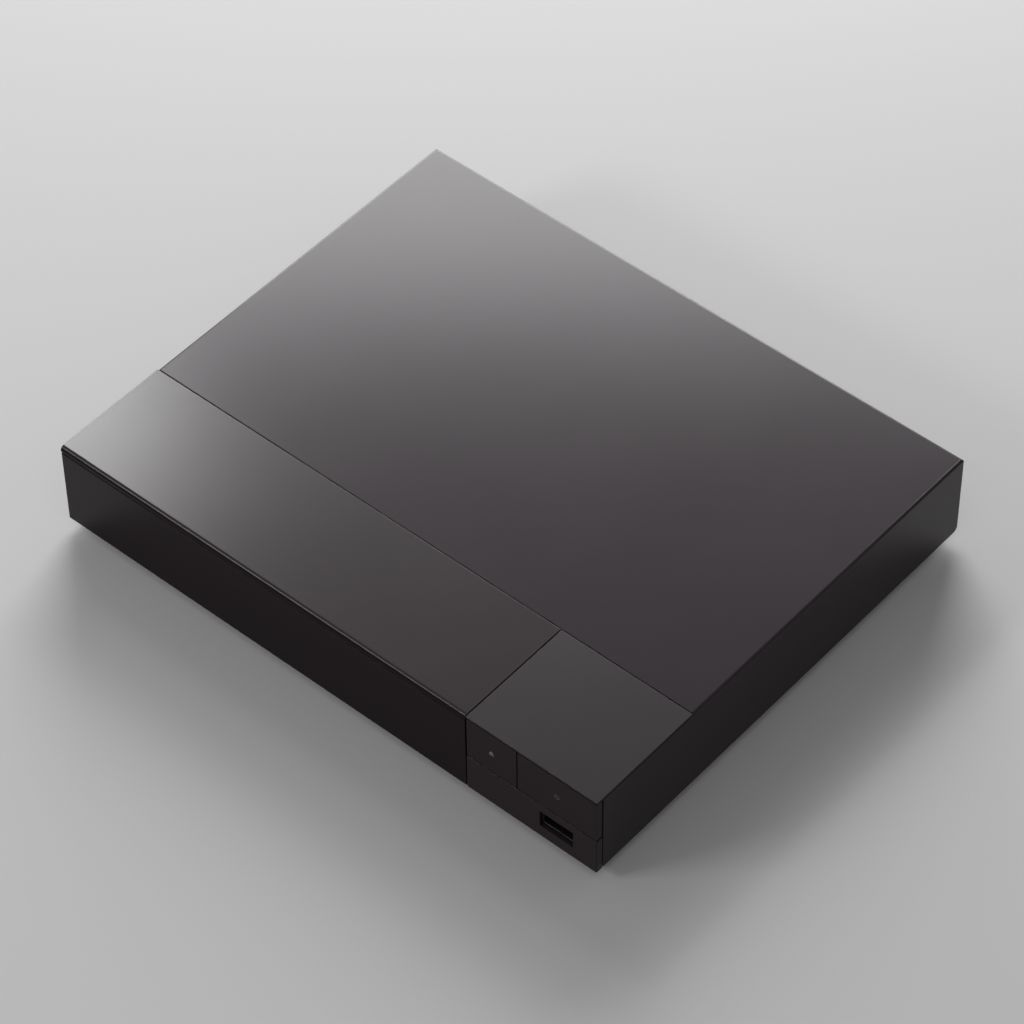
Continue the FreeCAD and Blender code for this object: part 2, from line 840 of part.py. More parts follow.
def control_cover():
    """Moulded right block: a thin top plate, the wall behind the keys and the strip with the USB hole."""
    cover = Solid("control_cover")
    cover.add("XY", "plate_low", "top", box("right_seam", "right", "front", "deck_end"))
    cover.add("XY", "rib_low", "plate_low", box("right_seam", "frame_right", "wall_front", "deck_end"))
    wall = box("right_seam", "frame_right", "frame_low", "rib_low")
    cover.add("XZ", "wall_front", "wall_back", wall)
    strip = box("right_seam", "right", "base", "key_low-key_gap")
    cover.add("XZ", "front", "front_back", strip)
    bridge = box("right_seam", "frame_right", "frame_low", "key_low-key_gap")
    cover.add("XZ", "front_back", "wall_front", bridge)
    side = box("frame_right-wall", "frame_right", "wall_back", "deck_end")
    cover.add("XY", "floor+pan_lip+slack", "rib_low", side)
    for x, z in panel_board_holes:
        cover.add("XZ", "wall_back", "switch_back", hexagon(x, z, "boss_radius-gap"))
        cover.cut("XZ", "wall_back", "switch_back", hexagon(x, z, "hole_radius"))
    usb = box(
        *both_sides("usb_x", "usb_hole_width/2"),
        *both_sides("usb_z", "usb_hole_height/2"),
    )
    cover.cut("XZ", "front", "wall_back", usb)
    for key in keys:
        for outline in key_posts(key, "fit"):
            cover.cut("XZ", "wall_front", "wall_back", outline)
    cover.soften("Fillet", "soft_round", dict(x="right", y="front"))
    cover.soften("Fillet", "seam/2", dict(y="front", z="top"))


def tray_door():
    """Moulded full-height front that travels with the tray."""
    door = Solid("tray_door")
    door.add("XZ", "front", "front_back", box("left", "left_seam", "base", "door_top"))
    rails = (dict(y="front", z="door_top"), dict(y="front", z="base"))
    door.soften("Fillet", "soft_round", *rails, dict(x="left", y="front"))


def key_posts(key, room):
    """Outlines of a key's stem and of its two guide blades, with room round them."""
    posts = [square(key["x"], "key_z", f"stem_half+{room}")]
    for x in (key["left"] + "+guide_inset", key["right"] + "-guide_inset"):
        blade = box(
            *both_sides(x, f"guide_half+{room}"),
            *both_sides("key_z", f"guide_rise/2+{room}"),
        )
        posts.append(blade)
    return posts


def key_button(key):
    """A key plate with its stem to the switch and two guide blades."""
    button = Solid(key["name"] + "_button")
    button.add("XZ", "front", "front_back", box(key["left"], key["right"], "key_low", "key_top"))
    stem, *blades = key_posts(key, "0")
    button.add("XZ", "front_back", "stem_end", stem)
    for blade in blades:
        button.add("XZ", "front_back", "wall_back-key_travel-fit", blade)
    button.soften("Fillet", "seam/2", dict(y="front", z="key_top"), dict(y="front", z="key_low"))
    tube = (
        square_bar(key["x"], "switch_front", "key_z", "switch_width/2", "switch_depth"),
        square_bar(key["x"], "switch_front", "key_z", "plunger_half+fit", "switch_depth/2"),
    )
    name_piece(key["name"] + "_switch", trim(*tube))
    reach = "switch_front-stem_end+key_travel*2"
    name_piece(key["name"] + "_plunger", square_bar(key["x"], "stem_end", "key_z", "plunger_half", reach))


def feet():
    """Four rubber feet that taper towards the floor."""
    made = []
    for x in ("foot_left", "foot_right"):
        for y in ("foot_front", "foot_rear"):
            foot = doc.addObject("Part::Wedge", "foot")
            for name, text in (
                ("Xmin", "foot_draft"),
                ("Xmax", "foot_width-foot_draft"),
                ("X2min", "0"),
                ("X2max", "foot_width"),
                ("Ymin", "0"),
                ("Ymax", "base"),
                ("Zmin", "foot_draft"),
                ("Zmax", "foot_length-foot_draft"),
                ("Z2min", "0"),
                ("Z2max", "foot_length"),
            ):
                bind(foot, name, text)
            set_down(foot, x, f"{y}+foot_length", "0", "up")
            made.append(foot)
    name_piece("feet", *made)


def disc_tray():
    """Tray with a stepped recess for both sizes of disc, a slot open to the rear and the rack below."""
    tray = Solid("disc_tray")
    outline = box("tray_left", "tray_right", "tray_front", "tray_rear")
    tray.add("XY", "tray_low", "tray_top", outline)
    tray.cut("XY", "disc_floor", "tray_top", ("center_x", "spindle_y", "disc_radius"))
    tray.cut("XY", "small_floor", "disc_floor", ("center_x", "spindle_y", "small_disc_radius"))
    slot = box(*both_sides("center_x", "slot_half"), "spindle_y", "tray_rear")
    tray.cut("XY", "tray_low", "tray_top", slot)
    tray.cut("XY", "tray_low", "small_floor", ("center_x", "spindle_y", "slot_half"))
    for low, high in (
        ("tray_left+well_rim", "center_x-slot_half-well_rim"),
        ("center_x+slot_half+well_rim", "tray_right-well_rim"),
    ):
        well = box(low, high, "spindle_y+disc_radius+well_rim", "tray_rear-well_rim")
        tray.cut("XY", "small_floor", "tray_top", well)
    root = "rack_line+root_depth"
    bar = box(root, root + "+rack_bar", "rack_start", "rack_start+rack_teeth*rack_pitch")
    tray.add("XY", "rack_low", "tray_low", bar)
    tooth = [
        (root, "rack_first-half_tooth-tan(pressure)*root_depth"),
        (root, "rack_first+half_tooth+tan(pressure)*root_depth"),
        ("rack_line-tip", "rack_first+half_tooth-tan(pressure)*tip"),
        ("rack_line-tip", "rack_first-half_tooth+tan(pressure)*tip"),
    ]
    tray.row(tray.add("XY", "rack_low", "tray_low", tooth), "Y", "rack_pitch", "rack_teeth")


def add_teeth(gear, x, y, low, high, teeth, phase):
    """Pad a toothed ring: a root disc and one involute tooth, turned round its centre."""
    radius = f"(tooth_size*{teeth}/2)"
    base = f"({radius}*cos(pressure))"
    gear.add("XY", low, high, (x, y, f"{radius}-root_depth"))

    def half_angle(at):
        """Half the tooth's angle at a radius: what it is at the pitch circle, less the involute's lean."""
        slope = f"(sqrt({at}*{at}-{base}*{base})/{base})"
        lean = f"({slope}*180/pi-atan({slope})/1deg)"
        pitch_lean = "(tan(pressure)*180/pi-pressure)"
        return f"(90/{teeth}-backlash/2/{radius}*180/pi+{pitch_lean}-{lean})"

    stations = [(f"({radius}-root_depth-tooth_sink)", half_angle(base))]
    for at in (radius, f"({radius}+tip)"):
        stations.append((at, half_angle(at)))
    flank = [(f"{at}*cos({angle})", f"-{at}*sin({angle})") for at, angle in stations]
    other = [(f"{at}*cos({angle})", f"{at}*sin({angle})") for at, angle in reversed(stations)]
    tooth = gear.add("XY", low, high, flank + other, shift=(x, y), turned=phase)
    gear.ring(tooth, tooth.Profile[0], teeth)


def drive_gear():
    """Two-step gear: the wheel below is driven by the pinion, the gear above drives the tray's rack."""
    gear = Solid("drive_gear")
    add_teeth(gear, "drive_x", "drive_y", "wheel_low", "wheel_top", "wheel_teeth", "0")
    add_teeth(gear, "drive_x", "drive_y", "wheel_top", "drive_top", "drive_teeth", "0")
    gear.cut("XY", "wheel_low", "drive_top", ("drive_x", "drive_y", "post_radius+shaft_fit"))


def pulley_gear():
    """Belt pulley on a pinion."""
    gear = Solid("pulley_gear")
    step = "180/pinion_teeth*(wheel_teeth+1)"
    add_teeth(gear, "pulley_x", "drive_y", "wheel_low", "pulley_low", "pinion_teeth", step)
    gear.add("XY", "pulley_low", "pulley_top", ("pulley_x", "drive_y", "pulley_radius"))
    gear.cut("XY", "wheel_low", "pulley_top", ("pulley_x", "drive_y", "post_radius+shaft_fit"))


def motor_pulley():
    """Small pulley on the loading motor's shaft."""
    pulley = Solid("motor_pulley")
    pulley.add("XY", "pulley_low", "pulley_top", ("motor_x", "drive_y", "motor_pulley_radius"))
    pulley.add("XY", "motor_top", "pulley_low", ("motor_x", "drive_y", "spindle_radius"))


def loading_motor():
    """Flat can motor that stands in the loader's cup."""
    can = rod("Z", "motor_x", "drive_y", "motor_low", "motor_radius", "motor_height")
    name_piece("loading_motor", can)


def drive_belt():
    """Square belt round both pulleys."""
    belt = Solid("drive_belt")
    for action, extra in ((belt.add, "belt_fit+belt"), (belt.cut, "belt_fit")):
        small = f"(motor_pulley_radius+{extra})"
        large = f"(pulley_radius+{extra})"
        reach = "(pulley_x-motor_x)"
        lean = f"(({large}-{small})/{reach})"
        rise = f"sqrt(1-{lean}*{lean})"
        sides = [
            (f"motor_x-{small}*{lean}", f"drive_y-{small}*{rise}"),
            (f"pulley_x-{large}*{lean}", f"drive_y-{large}*{rise}"),
            (f"pulley_x-{large}*{lean}", f"drive_y+{large}*{rise}"),
            (f"motor_x-{small}*{lean}", f"drive_y+{small}*{rise}"),
        ]
        rings = (("motor_x", "drive_y", small), ("pulley_x", "drive_y", large), sides)
        for outline in rings:
            action("XY", "belt_low", "belt_low+belt", outline)


def loader_base():
    """Moulded loader chassis with the tray's rails, motor cup, gear posts and the traverse's bearings."""
    base = Solid("loader_base")
    outline = box("loader_left", "loader_right", "loader_front", "loader_rear")
    base.add("XY", "loader_low", "loader_deck", outline)
    inner_left = "loader_left+loader_wall"
    inner_right = "loader_right-loader_wall"
    for low, high in (("loader_left", inner_left), (inner_right, "loader_right")):
        base.add("XY", "loader_deck", "loader_top", box(low, high, "loader_front", "loader_rear"))
    front = box(inner_left, inner_right, "loader_front", "loader_front+wall")
    base.add("XY", "loader_deck", "rack_low-rack_gap", front)
    rear = box(inner_left, inner_right, "loader_rear-wall", "loader_rear")
    base.add("XY", "loader_deck", "ledge_top", rear)
    for low, high, tab in (
        (inner_left, "tray_left+ledge", (inner_left, "tray_left+tab_reach")),
        ("tray_right-ledge", inner_right, ("tray_right-tab_reach", inner_right)),
    ):
        base.add("XY", "ledge_top-wall", "ledge_top", box(low, high, "loader_front", "loader_rear"))
        hook = box(*tab, "loader_front+tab_start", "loader_front+tab_start+tab_length")
        added = base.add("XY", "tray_top+slack", "tray_top+slack+wall", hook)
        base.row(added, "Y", "tab_step", "tab_count")
    bay = box(*both_sides("center_x", "traverse_half+traverse_gap"), "bay_start", "pivot_y+bay_end")
    base.cut("XY", "loader_low", "loader_deck", bay)
    for x, y in loader_holes:
        base.cut("XY", "loader_low", "loader_deck", hexagon(x, y, "hole_radius"))
    cup = square("motor_x", "drive_y", "motor_radius+cup_wall")
    base.add("XY", "loader_deck", "motor_top-cup_wall", cup)
    base.cut("XY", "loader_low", "motor_top-cup_wall", ("motor_x", "drive_y", "motor_radius+fit"))
    for x, shoulder, top in (("drive_x", "wheel_low", "drive_top"), ("pulley_x", "wheel_low", "pulley_top")):
        base.add("XY", "loader_deck", shoulder + "-slack", hexagon(x, "drive_y", "post_shoulder"))
        base.add("XY", "loader_deck", top + "+fit", (x, "drive_y", "post_radius"))
    guide = ("center_x-cam_guide", "drive_x-wheel_radius-tip-slack")
    for ends, low, high in (
        (guide, "cam_front-slack-cam_rib", "cam_front-slack"),
        (both_sides("center_x", "cam_keep"), "cam_back+slack", "cam_back+slack+cam_rib"),
    ):
        base.add("XY", "loader_deck", "loader_deck+cam_rise", box(*ends, low, high))
    for low, high in (
        ("center_x-traverse_half-bracket", "center_x-traverse_half-traverse_gap"),
        ("center_x+traverse_half+traverse_gap", "center_x+traverse_half+bracket"),
    ):
        ear = box(*both_sides("pivot_y", "bracket_half"), "loader_low", "pivot_z+bracket_half")
        base.add("YZ", low, high, ear)
        slot = box(
            *both_sides("pivot_y", "pivot_radius+shaft_fit"),
            "pivot_z-pivot_radius-shaft_fit",
            "pivot_z+bracket_half",
        )
        base.cut("YZ", low, high, slot)
    for x in bridge_rows:
        for y in bridge_lines:
            boss = hexagon(x, y, "boss_radius")
            base.add("XY", "loader_top-boss_drop", "loader_top", boss)
            base.cut("XY", "loader_top-boss_drop", "loader_top", hexagon(x, y, "hole_radius"))
    gate = box("cable_y", "cable_y+cable_width", "loader_deck", "loader_deck+cable_rise")
    base.cut("YZ", inner_right, "loader_right", gate)


def clamp_bridge():
    """Steel bridge over the disc that carries the clamper."""
    bridge = Solid("clamp_bridge")
    plate = box("bridge_left", "bridge_right", *both_sides("spindle_y", "bridge_half"))
    bridge.add("XY", "loader_top", "bridge_top", plate)
    for low, high in (
        ("spindle_y-bridge_half", "spindle_y-bridge_half+bridge_thick"),
        ("spindle_y+bridge_half-bridge_thick", "spindle_y+bridge_half"),
    ):
        flange = box("tray_left", "tray_right", low, high)
        bridge.add("XY", "bridge_top", "bridge_top+bridge_flange", flange)
    bridge.cut("XY", "loader_top", "bridge_top", ("center_x", "spindle_y", "bridge_hole"))
    for x in bridge_rows:
        for y in bridge_lines:
            bridge.cut("XY", "loader_top", "bridge_top", hexagon(x, y, "hole_radius"))


def cam_slider():
    """Sliding plate whose two sloping slots raise and lower the traverse."""
    cam = Solid("cam_slider")
    ends = "cam_spread+cam_pin+cam_end"
    plate = box(f"center_x-{ends}-cam_travel", f"center_x+{ends}", "cam_low", "cam_top")
    cam.add("XZ", "cam_front", "cam_back", plate)
    room = "(cam_pin+cam_room)"
    for x in both_sides("center_x", "cam_spread"):
        low_end = f"{x}-cam_travel-{room}"
        slot = [
            (low_end, f"pin_z-cam_drop-{room}"),
            (f"{x}-cam_travel", f"pin_z-cam_drop-{room}"),
            (x, f"pin_z-{room}"),
            (f"{x}+{room}", f"pin_z-{room}"),
            (f"{x}+{room}", f"pin_z+{room}"),
            (x, f"pin_z+{room}"),
            (f"{x}-cam_travel", f"pin_z-cam_drop+{room}"),
            (low_end, f"pin_z-cam_drop+{room}"),
        ]
        cam.cut("XZ", "cam_front", "cam_back", slot)


def traverse_frame():
    """Tilting frame with the spindle's floor, the pickup's window, shaft seats, cam pins and pivots."""
    frame = Solid("traverse_frame")
    outline = box(*both_sides("center_x", "traverse_half"), "traverse_start", "traverse_end")
    frame.add("XY", "traverse_low", "traverse_top", outline)
    inner = both_sides("center_x", "traverse_half-frame_wall")
    well = box(*inner, "traverse_start+frame_wall", "window_start")
    frame.cut("XY", "traverse_floor", "traverse_top", well)
    window = box(*both_sides("center_x", "window_half"), "window_start", "window_end")
    frame.cut("XY", "traverse_low", "traverse_top", window)
    for x in both_sides("center_x", "shaft_spread"):
        seat = box(*both_sides(x, "shaft_radius*2"), "window_start-seat_depth", "window_start")
        frame.add("XY", "traverse_floor", "traverse_top", seat)
        groove = box(*both_sides(x, "shaft_radius"), "shaft_front", "shaft_rear")
        frame.cut("XY", "shaft_z-shaft_radius", "traverse_top", groove)
    bearing = box(*both_sides("lead_x", "lead_radius+fit"), "window_end", "lead_rear+fit")
    frame.cut("XY", "lead_z-lead_radius-fit", "traverse_top", bearing)
    motor = box(*both_sides("lead_x", "sled_motor_radius+fit"), "sled_motor_front-slack", "window_start")
    frame.cut("XY", "traverse_low", "traverse_floor", motor)
    hole = square("center_x", "spindle_y", "bearing_half+fit")
    frame.cut("XY", "traverse_low", "traverse_floor", hole)
    for x in both_sides("center_x", "cam_spread"):
        nose = box(*both_sides(x, "cam_pin*2"), "traverse_start", "traverse_start+frame_wall")
        frame.add("XY", "traverse_top", "pin_z+cam_pin+slack", nose)
        frame.add("XZ", "cam_front", "traverse_start", (x, "pin_z", "cam_pin"))
    for low, high in (
        ("center_x-traverse_half-bracket", "center_x-traverse_half"),
        ("center_x+traverse_half", "center_x+traverse_half+bracket"),
    ):
        frame.add("YZ", low, high, ("pivot_y", "pivot_z", "pivot_radius"))


def spindle():
    """Spindle motor's base and bearing, its rotor and the turntable that the disc sits on."""
    motor = Solid("spindle_motor")
    plate = square("center_x", "spindle_y", "rotor_radius")
    motor.add("XY", "traverse_floor", "traverse_floor+motor_flange", plate)
    bearing = square("center_x", "spindle_y", "bearing_half")
    motor.add("XY", "traverse_low-bearing_drop", "traverse_floor", bearing)
    bore = ("center_x", "spindle_y", "spindle_radius+shaft_fit")
    motor.cut("XY", "traverse_low-bearing_drop", "traverse_floor+motor_flange", bore)
    rotor = Solid("spindle_rotor")
    cup = ("center_x", "spindle_y", "rotor_radius")
    rotor.add("XY", "traverse_floor+motor_flange+slack", "plate_bottom", cup)
    shaft = ("center_x", "spindle_y", "spindle_radius")
    rotor.add("XY", "traverse_low-bearing_drop+slack", "traverse_floor+motor_flange+slack", shaft)
    turntable = Solid("turntable")
    turntable.add("XY", "plate_bottom", "plate_top", ("center_x", "spindle_y", "turntable_radius"))
    turntable.add("XY", "plate_top", "hub_top", ("center_x", "spindle_y", "hub_radius"))


def clamper():
    """Disc clamper that hangs in the bridge by its flange, with a magnet in its top."""
    clamp = Solid("clamper")
    clamp.add("XY", "clamp_low", "clamp_flange", ("center_x", "spindle_y", "clamp_radius"))
    clamp.add("XY", "clamp_flange", "clamp_top", ("center_x", "spindle_y", "clamp_radius+clamp_reach"))
    seat = square("center_x", "spindle_y", "magnet_half+fit")
    clamp.cut("XY", "clamp_top-magnet_thick", "clamp_top", seat)
    spot = ("center_x-magnet_half", "spindle_y-magnet_half", "clamp_top-magnet_thick")
    magnet = block(*spot, "magnet_half*2", "magnet_half*2", "magnet_thick")
    name_piece("clamp_magnet", magnet)


def guide_shafts():
    """Two ground shafts that the pickup runs on."""
    length = "shaft_rear-shaft_front"
    shafts = [rod("Y", x, "shaft_front", "shaft_z", "shaft_radius", length) for x in shaft_rows]
    name_piece("guide_shafts", *shafts)


def sled_drive():
    """Small motor and the screw that moves the pickup."""
    length = "sled_motor_rear-sled_motor_front"
    can = rod("Y", "lead_x", "sled_motor_front", "lead_z", "sled_motor_radius", length)
    name_piece("sled_motor", can)
    start = "sled_motor_rear+slack"
    name_piece("lead_screw", rod("Y", "lead_x", start, "lead_z", "lead_radius", f"lead_rear-({start})"))


def pickup_sled():
    """Cast pickup body that slides on the shafts, with the nut's comb and the lens's yokes."""
    sled = Solid("pickup_sled")
    body = box(*both_sides("center_x", "sled_half"), "sled_start", "sled_end")
    sled.add("XY", "sled_low", "sled_top", body)
    for low, high in (
        ("center_x-shaft_spread-lobe", "center_x-sled_half"),
        ("center_x+sled_half", "center_x+shaft_spread+lobe"),
    ):
        side = box(low, high, "sled_start+lobe_inset", "sled_end-lobe_inset")
        sled.add("XY", "shaft_z-lobe", "shaft_z+lobe", side)
    bore = ("center_x-shaft_spread", "shaft_z", "shaft_radius+shaft_fit")
    sled.cut("XZ", "sled_start", "sled_end", bore)
    fork = box(
        "center_x+shaft_spread-shaft_radius-fit",
        "center_x+shaft_spread+lobe",
        *both_sides("shaft_z", "shaft_radius+shaft_fit"),
    )
    sled.cut("XZ", "sled_start", "sled_end", fork)
    comb = box("lead_x+lead_radius+fit", "center_x-shaft_spread-lobe", "sled_start+lobe_inset", "lens_y")
    sled.add("XY", "lead_z-comb_half", "lead_z+comb_half", comb)
    for low, high in (("lens_y-yoke_far", "lens_y-yoke_near"), ("lens_y+yoke_near", "lens_y+yoke_far")):
        yoke = box(*both_sides("center_x", "yoke_half"), low, high)
        sled.add("XY", "sled_top", "sled_top+yoke_rise", yoke)
    middle = both_sides("center_x", "sled_half-frame_wall")
    recess = box(*middle, "lens_y+yoke_far+wall", "sled_end-frame_wall")
    sled.cut("XY", "sled_top-wall", "sled_top", recess)


def lens():
    """Lens holder that floats over the pickup, and its lens."""
    holder = Solid("lens_holder")
    plan = box(*both_sides("center_x", "holder_half"), "lens_y-holder_reach", "lens_y+holder_reach")
    holder.add("XY", "sled_top+holder_gap", "holder_top", plan)
    glass = [
        ("0", "holder_top"),
        ("lens_radius", "holder_top"),
        ("lens_radius/2", "holder_top+lens_rise"),
        ("0", "holder_top+lens_rise"),
    ]
    Solid("objective_lens").turn("XZ", ("center_x", "0"), "lens_y", glass)


def main_board():
    """Main circuit board with its mounting holes."""
    board = Solid("main_board")
    outline = box("board_left", "board_right", "board_front", "board_rear")
    board.add("XY", "board_low", "board_top", outline)
    for x, y in board_holes:
        board.cut("XY", "board_low", "board_top", hexagon(x, y, "hole_radius"))


def heat_sink():
    """Finned heat sink on the processor."""
    sink = Solid("heat_sink")
    low, high = both_sides("chip_x", "sink_width/2")
    front, rear = both_sides("chip_y", "sink_width/2")
    sink.add("XY", "chip_top", "chip_top+sink_floor", box(low, high, front, rear))
    fin = box(low, low + "+fin_thick", front, rear)
    added = sink.add("XY", "chip_top+sink_floor", "chip_top+sink_rise", fin)
    sink.row(added, "X", "(sink_width-fin_thick)/(fin_count-1)", "fin_count")


def board_parts():
    """Processor, memory, capacitors, coils and cable sockets on the main board."""
    corner = ("chip_x-chip_width/2", "chip_y-chip_width/2", "board_top")
    name_piece("processor_chip", block(*corner, "chip_width", "chip_width", "chip_thick"))
    memory = []
    for y in ("chip_y-memory_length-memory_gap", "chip_y+memory_gap"):
        spot = ("board_left+memory_inset", y, "board_top")
        memory.append(block(*spot, "memory_width", "memory_length", "memory_thick"))
    name_piece("memory_chips", *memory)
    cans = []
    for number in range(sizes["can_count"]):
        y = f"power_y+{number}*power_step"
        cans.append(rod("Z", "board_right-can_inset", y, "board_top", "can_radius", "can_height"))
    coils = []
    for number in range(sizes["coil_count"]):
        spot = ("board_right-coil_inset", f"power_y+{number}*power_step", "board_top")
        coils.append(block(*spot, "coil_width", "coil_width", "coil_height"))
    name_piece("capacitors", *cans)
    name_piece("power_coils", *coils)


def front_board():
    """Upright board behind the keys, with its lamp and remote control receiver."""
    board = Solid("front_board")
    outline = box("panel_board_left", "panel_board_right", "panel_board_low", "panel_board_top")
    board.add("XZ", "switch_back", "panel_board_back", outline)
    for x, z in panel_board_holes:
        board.cut("XZ", "switch_back", "panel_board_back", hexagon(x, z, "hole_radius"))
    spot = ("lamp_x-lamp_half", "switch_back-lamp_length", "lamp_z-lamp_half")
    name_piece("power_lamp", block(*spot, "lamp_half*2", "lamp_length", "lamp_half*2"))
    spot = ("receiver_x", "switch_back-lamp_length", "key_z-receiver_width/2")
    receiver = block(*spot, "receiver_width", "lamp_length", "receiver_width")
    name_piece("remote_receiver", receiver)


def flat_cables():
    """Flat cables with their sockets: one to the front board and one to the loader."""
    ribbon = Solid("front_cable")
    rise = "ribbon_y"
    fall = "panel_board_back+socket_depth/2"
    arch = [
        (rise, "socket_top"),
        (rise + "+ribbon", "socket_top"),
        (rise + "+ribbon", "ribbon_top+ribbon"),
        (fall, "ribbon_top+ribbon"),
        (fall, "upper_socket_z"),
        (fall + "+ribbon", "upper_socket_z"),
        (fall + "+ribbon", "ribbon_top"),
        (rise, "ribbon_top"),
    ]
    ribbon.add("YZ", "ribbon_x", "ribbon_x+ribbon_width", arch)
    lower = block(
        "ribbon_x-gap",
        "ribbon_y-socket_depth/2",
        "board_top",
        "ribbon_width+gap*2",
        "socket_depth",
        "socket_top-board_top",
    )
    upper = block(
        "ribbon_x-gap",
        "panel_board_back",
        "upper_socket_z-socket_depth",
        "ribbon_width+gap*2",
        "socket_depth",
        "socket_depth",
    )
    side = block(
        "board_left+gap",
        "cable_y+cable_margin-gap",
        "board_top",
        "socket_depth",
        "cable_width-cable_margin*2+gap*2",
        "socket_top-board_top",
    )
    name_piece("cable_sockets", lower, upper, side)
    cable = Solid("pickup_cable")
    run = [
        ("center_x+traverse_half+traverse_gap", "loader_deck"),
        ("loader_right-cable_ramp", "loader_deck"),
        ("board_left", "board_top+ribbon*2"),
        ("board_left+gap", "board_top+ribbon*2"),
        ("board_left+gap", "board_top+ribbon*3"),
        ("board_left-ribbon/3", "board_top+ribbon*3"),
        ("loader_right-cable_ramp-ribbon/3", "loader_deck+ribbon"),
        ("center_x+traverse_half+traverse_gap", "loader_deck+ribbon"),
    ]
    cable.add("XZ", "cable_y+cable_margin", "cable_y+cable_width-cable_margin", run)


def usb_socket():
    """USB socket: a folded steel shell with the contact tongue inside."""
    shell = Solid("usb_socket")
    rear = "usb_front+usb_depth"
    inner = box(*both_sides("usb_x", "usb_width/2"), *both_sides("usb_z", "usb_height/2"))
    outer = box(
        *both_sides("usb_x", "usb_width/2+usb_skin"),
        *both_sides("usb_z", "usb_height/2+usb_skin"),
    )
    shell.add("XZ", "usb_front", rear, outer)
    shell.cut("XZ", "usb_front", rear + "-usb_block", inner)
    for low, high in (
        ("usb_x-usb_width/2-usb_skin", "usb_x-usb_width/2"),
        ("usb_x+usb_width/2", "usb_x+usb_width/2+usb_skin"),
    ):
        leg = box(low, high, "board_front+wall", rear)
        shell.add("XY", "board_top", "usb_z-usb_height/2", leg)
    spot = ("usb_x-tongue_width/2", "usb_front+tongue_setback", "usb_z-tongue_drop")
    tongue = block(*spot, "tongue_width", "usb_depth-usb_block-tongue_setback", "tongue_thick")
    name_piece("usb_tongue", tongue)


def lan_jack():
    """Network jack with its latch notch."""
    jack = Solid("lan_jack")
    low, high = both_sides("lan_x", "lan_width/2")
    body = box(low, high, "panel_back-lan_depth", "panel_back")
    jack.add("XY", "board_top", "board_top+lan_height", body)
    start = "panel_back-lan_mouth_depth"
    mouth = box(*both_sides("lan_x", "lan_mouth_width/2"), "lan_mouth_low", "lan_mouth_high")
    jack.cut("XZ", start, "panel_back", mouth)
    notch = box(*both_sides("lan_x", "lan_mouth_width/4"), "lan_mouth_high", "lan_mouth_high+lan_notch")
    jack.cut("XZ", start, "panel_back", notch)


def hdmi_socket():
    """HDMI socket: a keystone mouth round a flat tongue."""
    socket = Solid("hdmi_socket")
    low, high = both_sides("hdmi_x", "hdmi_width/2+hdmi_skin")
    body = box(low, high, "board_top", "hdmi_top")
    socket.add("XZ", "panel_back-hdmi_depth", "panel_back", body)
    left, right = both_sides("hdmi_x", "hdmi_width/2")
    mouth = [
        (left + "+hdmi_bevel", "hdmi_top-hdmi_skin-hdmi_height"),
        (right + "-hdmi_bevel", "hdmi_top-hdmi_skin-hdmi_height"),
        (right, "hdmi_top-hdmi_skin-hdmi_height+hdmi_bevel"),
        (right, "hdmi_top-hdmi_skin"),
        (left, "hdmi_top-hdmi_skin"),
        (left, "hdmi_top-hdmi_skin-hdmi_height+hdmi_bevel"),
    ]
    socket.cut("XZ", "panel_back-hdmi_depth+wall", "panel_back", mouth)
    middle = "hdmi_top-hdmi_skin-hdmi_height/2"
    tongue = box(*both_sides("hdmi_x", "hdmi_width/2-hdmi_bevel"), *both_sides(middle, "hdmi_tongue/2"))
    socket.add("XZ", "panel_back-hdmi_depth+wall", "panel_back-wall", tongue)


def coax_jack():
    """Coaxial jack: its block, the necked sleeve that stands out of the rear and the insulator inside it."""
    low, high = both_sides("coax_x", "coax_block/2")
    body = Solid("coax_jack")
    plan = box(low, high, "panel_front-fit-coax_block", "panel_front-fit")
    body.add("XY", "board_top", "coax_z+coax_block/2", plan)
    here = ("coax_x", "0")
    start = "panel_front-fit"
    neck_end = "panel_back+coax_neck"
    sleeve = [
        ("coax_radius-sheet", start),
        ("coax_radius-slack", start),
        ("coax_radius-slack", neck_end),
        ("coax_radius", neck_end),
        ("coax_radius", "rear+coax_reach"),
        ("coax_radius-sheet", "rear+coax_reach"),
    ]
    Solid("coax_sleeve").turn("XY", here, "coax_z", sleeve)
    core = [
        ("coax_bore", start),
        ("coax_radius-sheet", start),
        ("coax_radius-sheet", "rear+coax_reach-slack"),
        ("coax_bore", "rear+coax_reach-slack"),
    ]
    Solid("coax_core").turn("XY", here, "coax_z", core)


def dc_jack():
    """Power inlet with its centre pin."""
    jack = Solid("dc_jack")
    plan = box(*both_sides("dc_x", "dc_block/2"), "panel_front-fit-dc_depth", "panel_front-fit")
    jack.add("XY", "board_top", "dc_z+dc_block/2", plan)
    start = "panel_front-fit-dc_bore_depth"
    jack.cut("XZ", start, "panel_front-fit", ("dc_x", "dc_z", "dc_radius"))
    pin = rod("Y", "dc_x", start, "dc_z", "dc_pin", "dc_bore_depth-wall")
    name_piece("dc_pin", pin)


def fasteners():
    """Screws, grouped by what they hold."""
    name_piece("cover_screws", *[screw("Y", x, "rear", "lip_z", "screw_length") for x in lip_screws])
    board = [screw("Z", x, y, "board_top", "screw_length") for x, y in board_holes]
    board += [screw("Y", x, "panel_board_back", z, "screw_length") for x, z in panel_board_holes]
    name_piece("board_screws", *board)
    loader = [screw("Z", x, y, "loader_deck", "screw_length-wall") for x, y in loader_holes]
    name_piece("loader_screws", *loader)
    bridge = [screw("Z", x, y, "bridge_top", "screw_length") for x in bridge_rows for y in bridge_lines]
    name_piece("bridge_screws", *bridge)


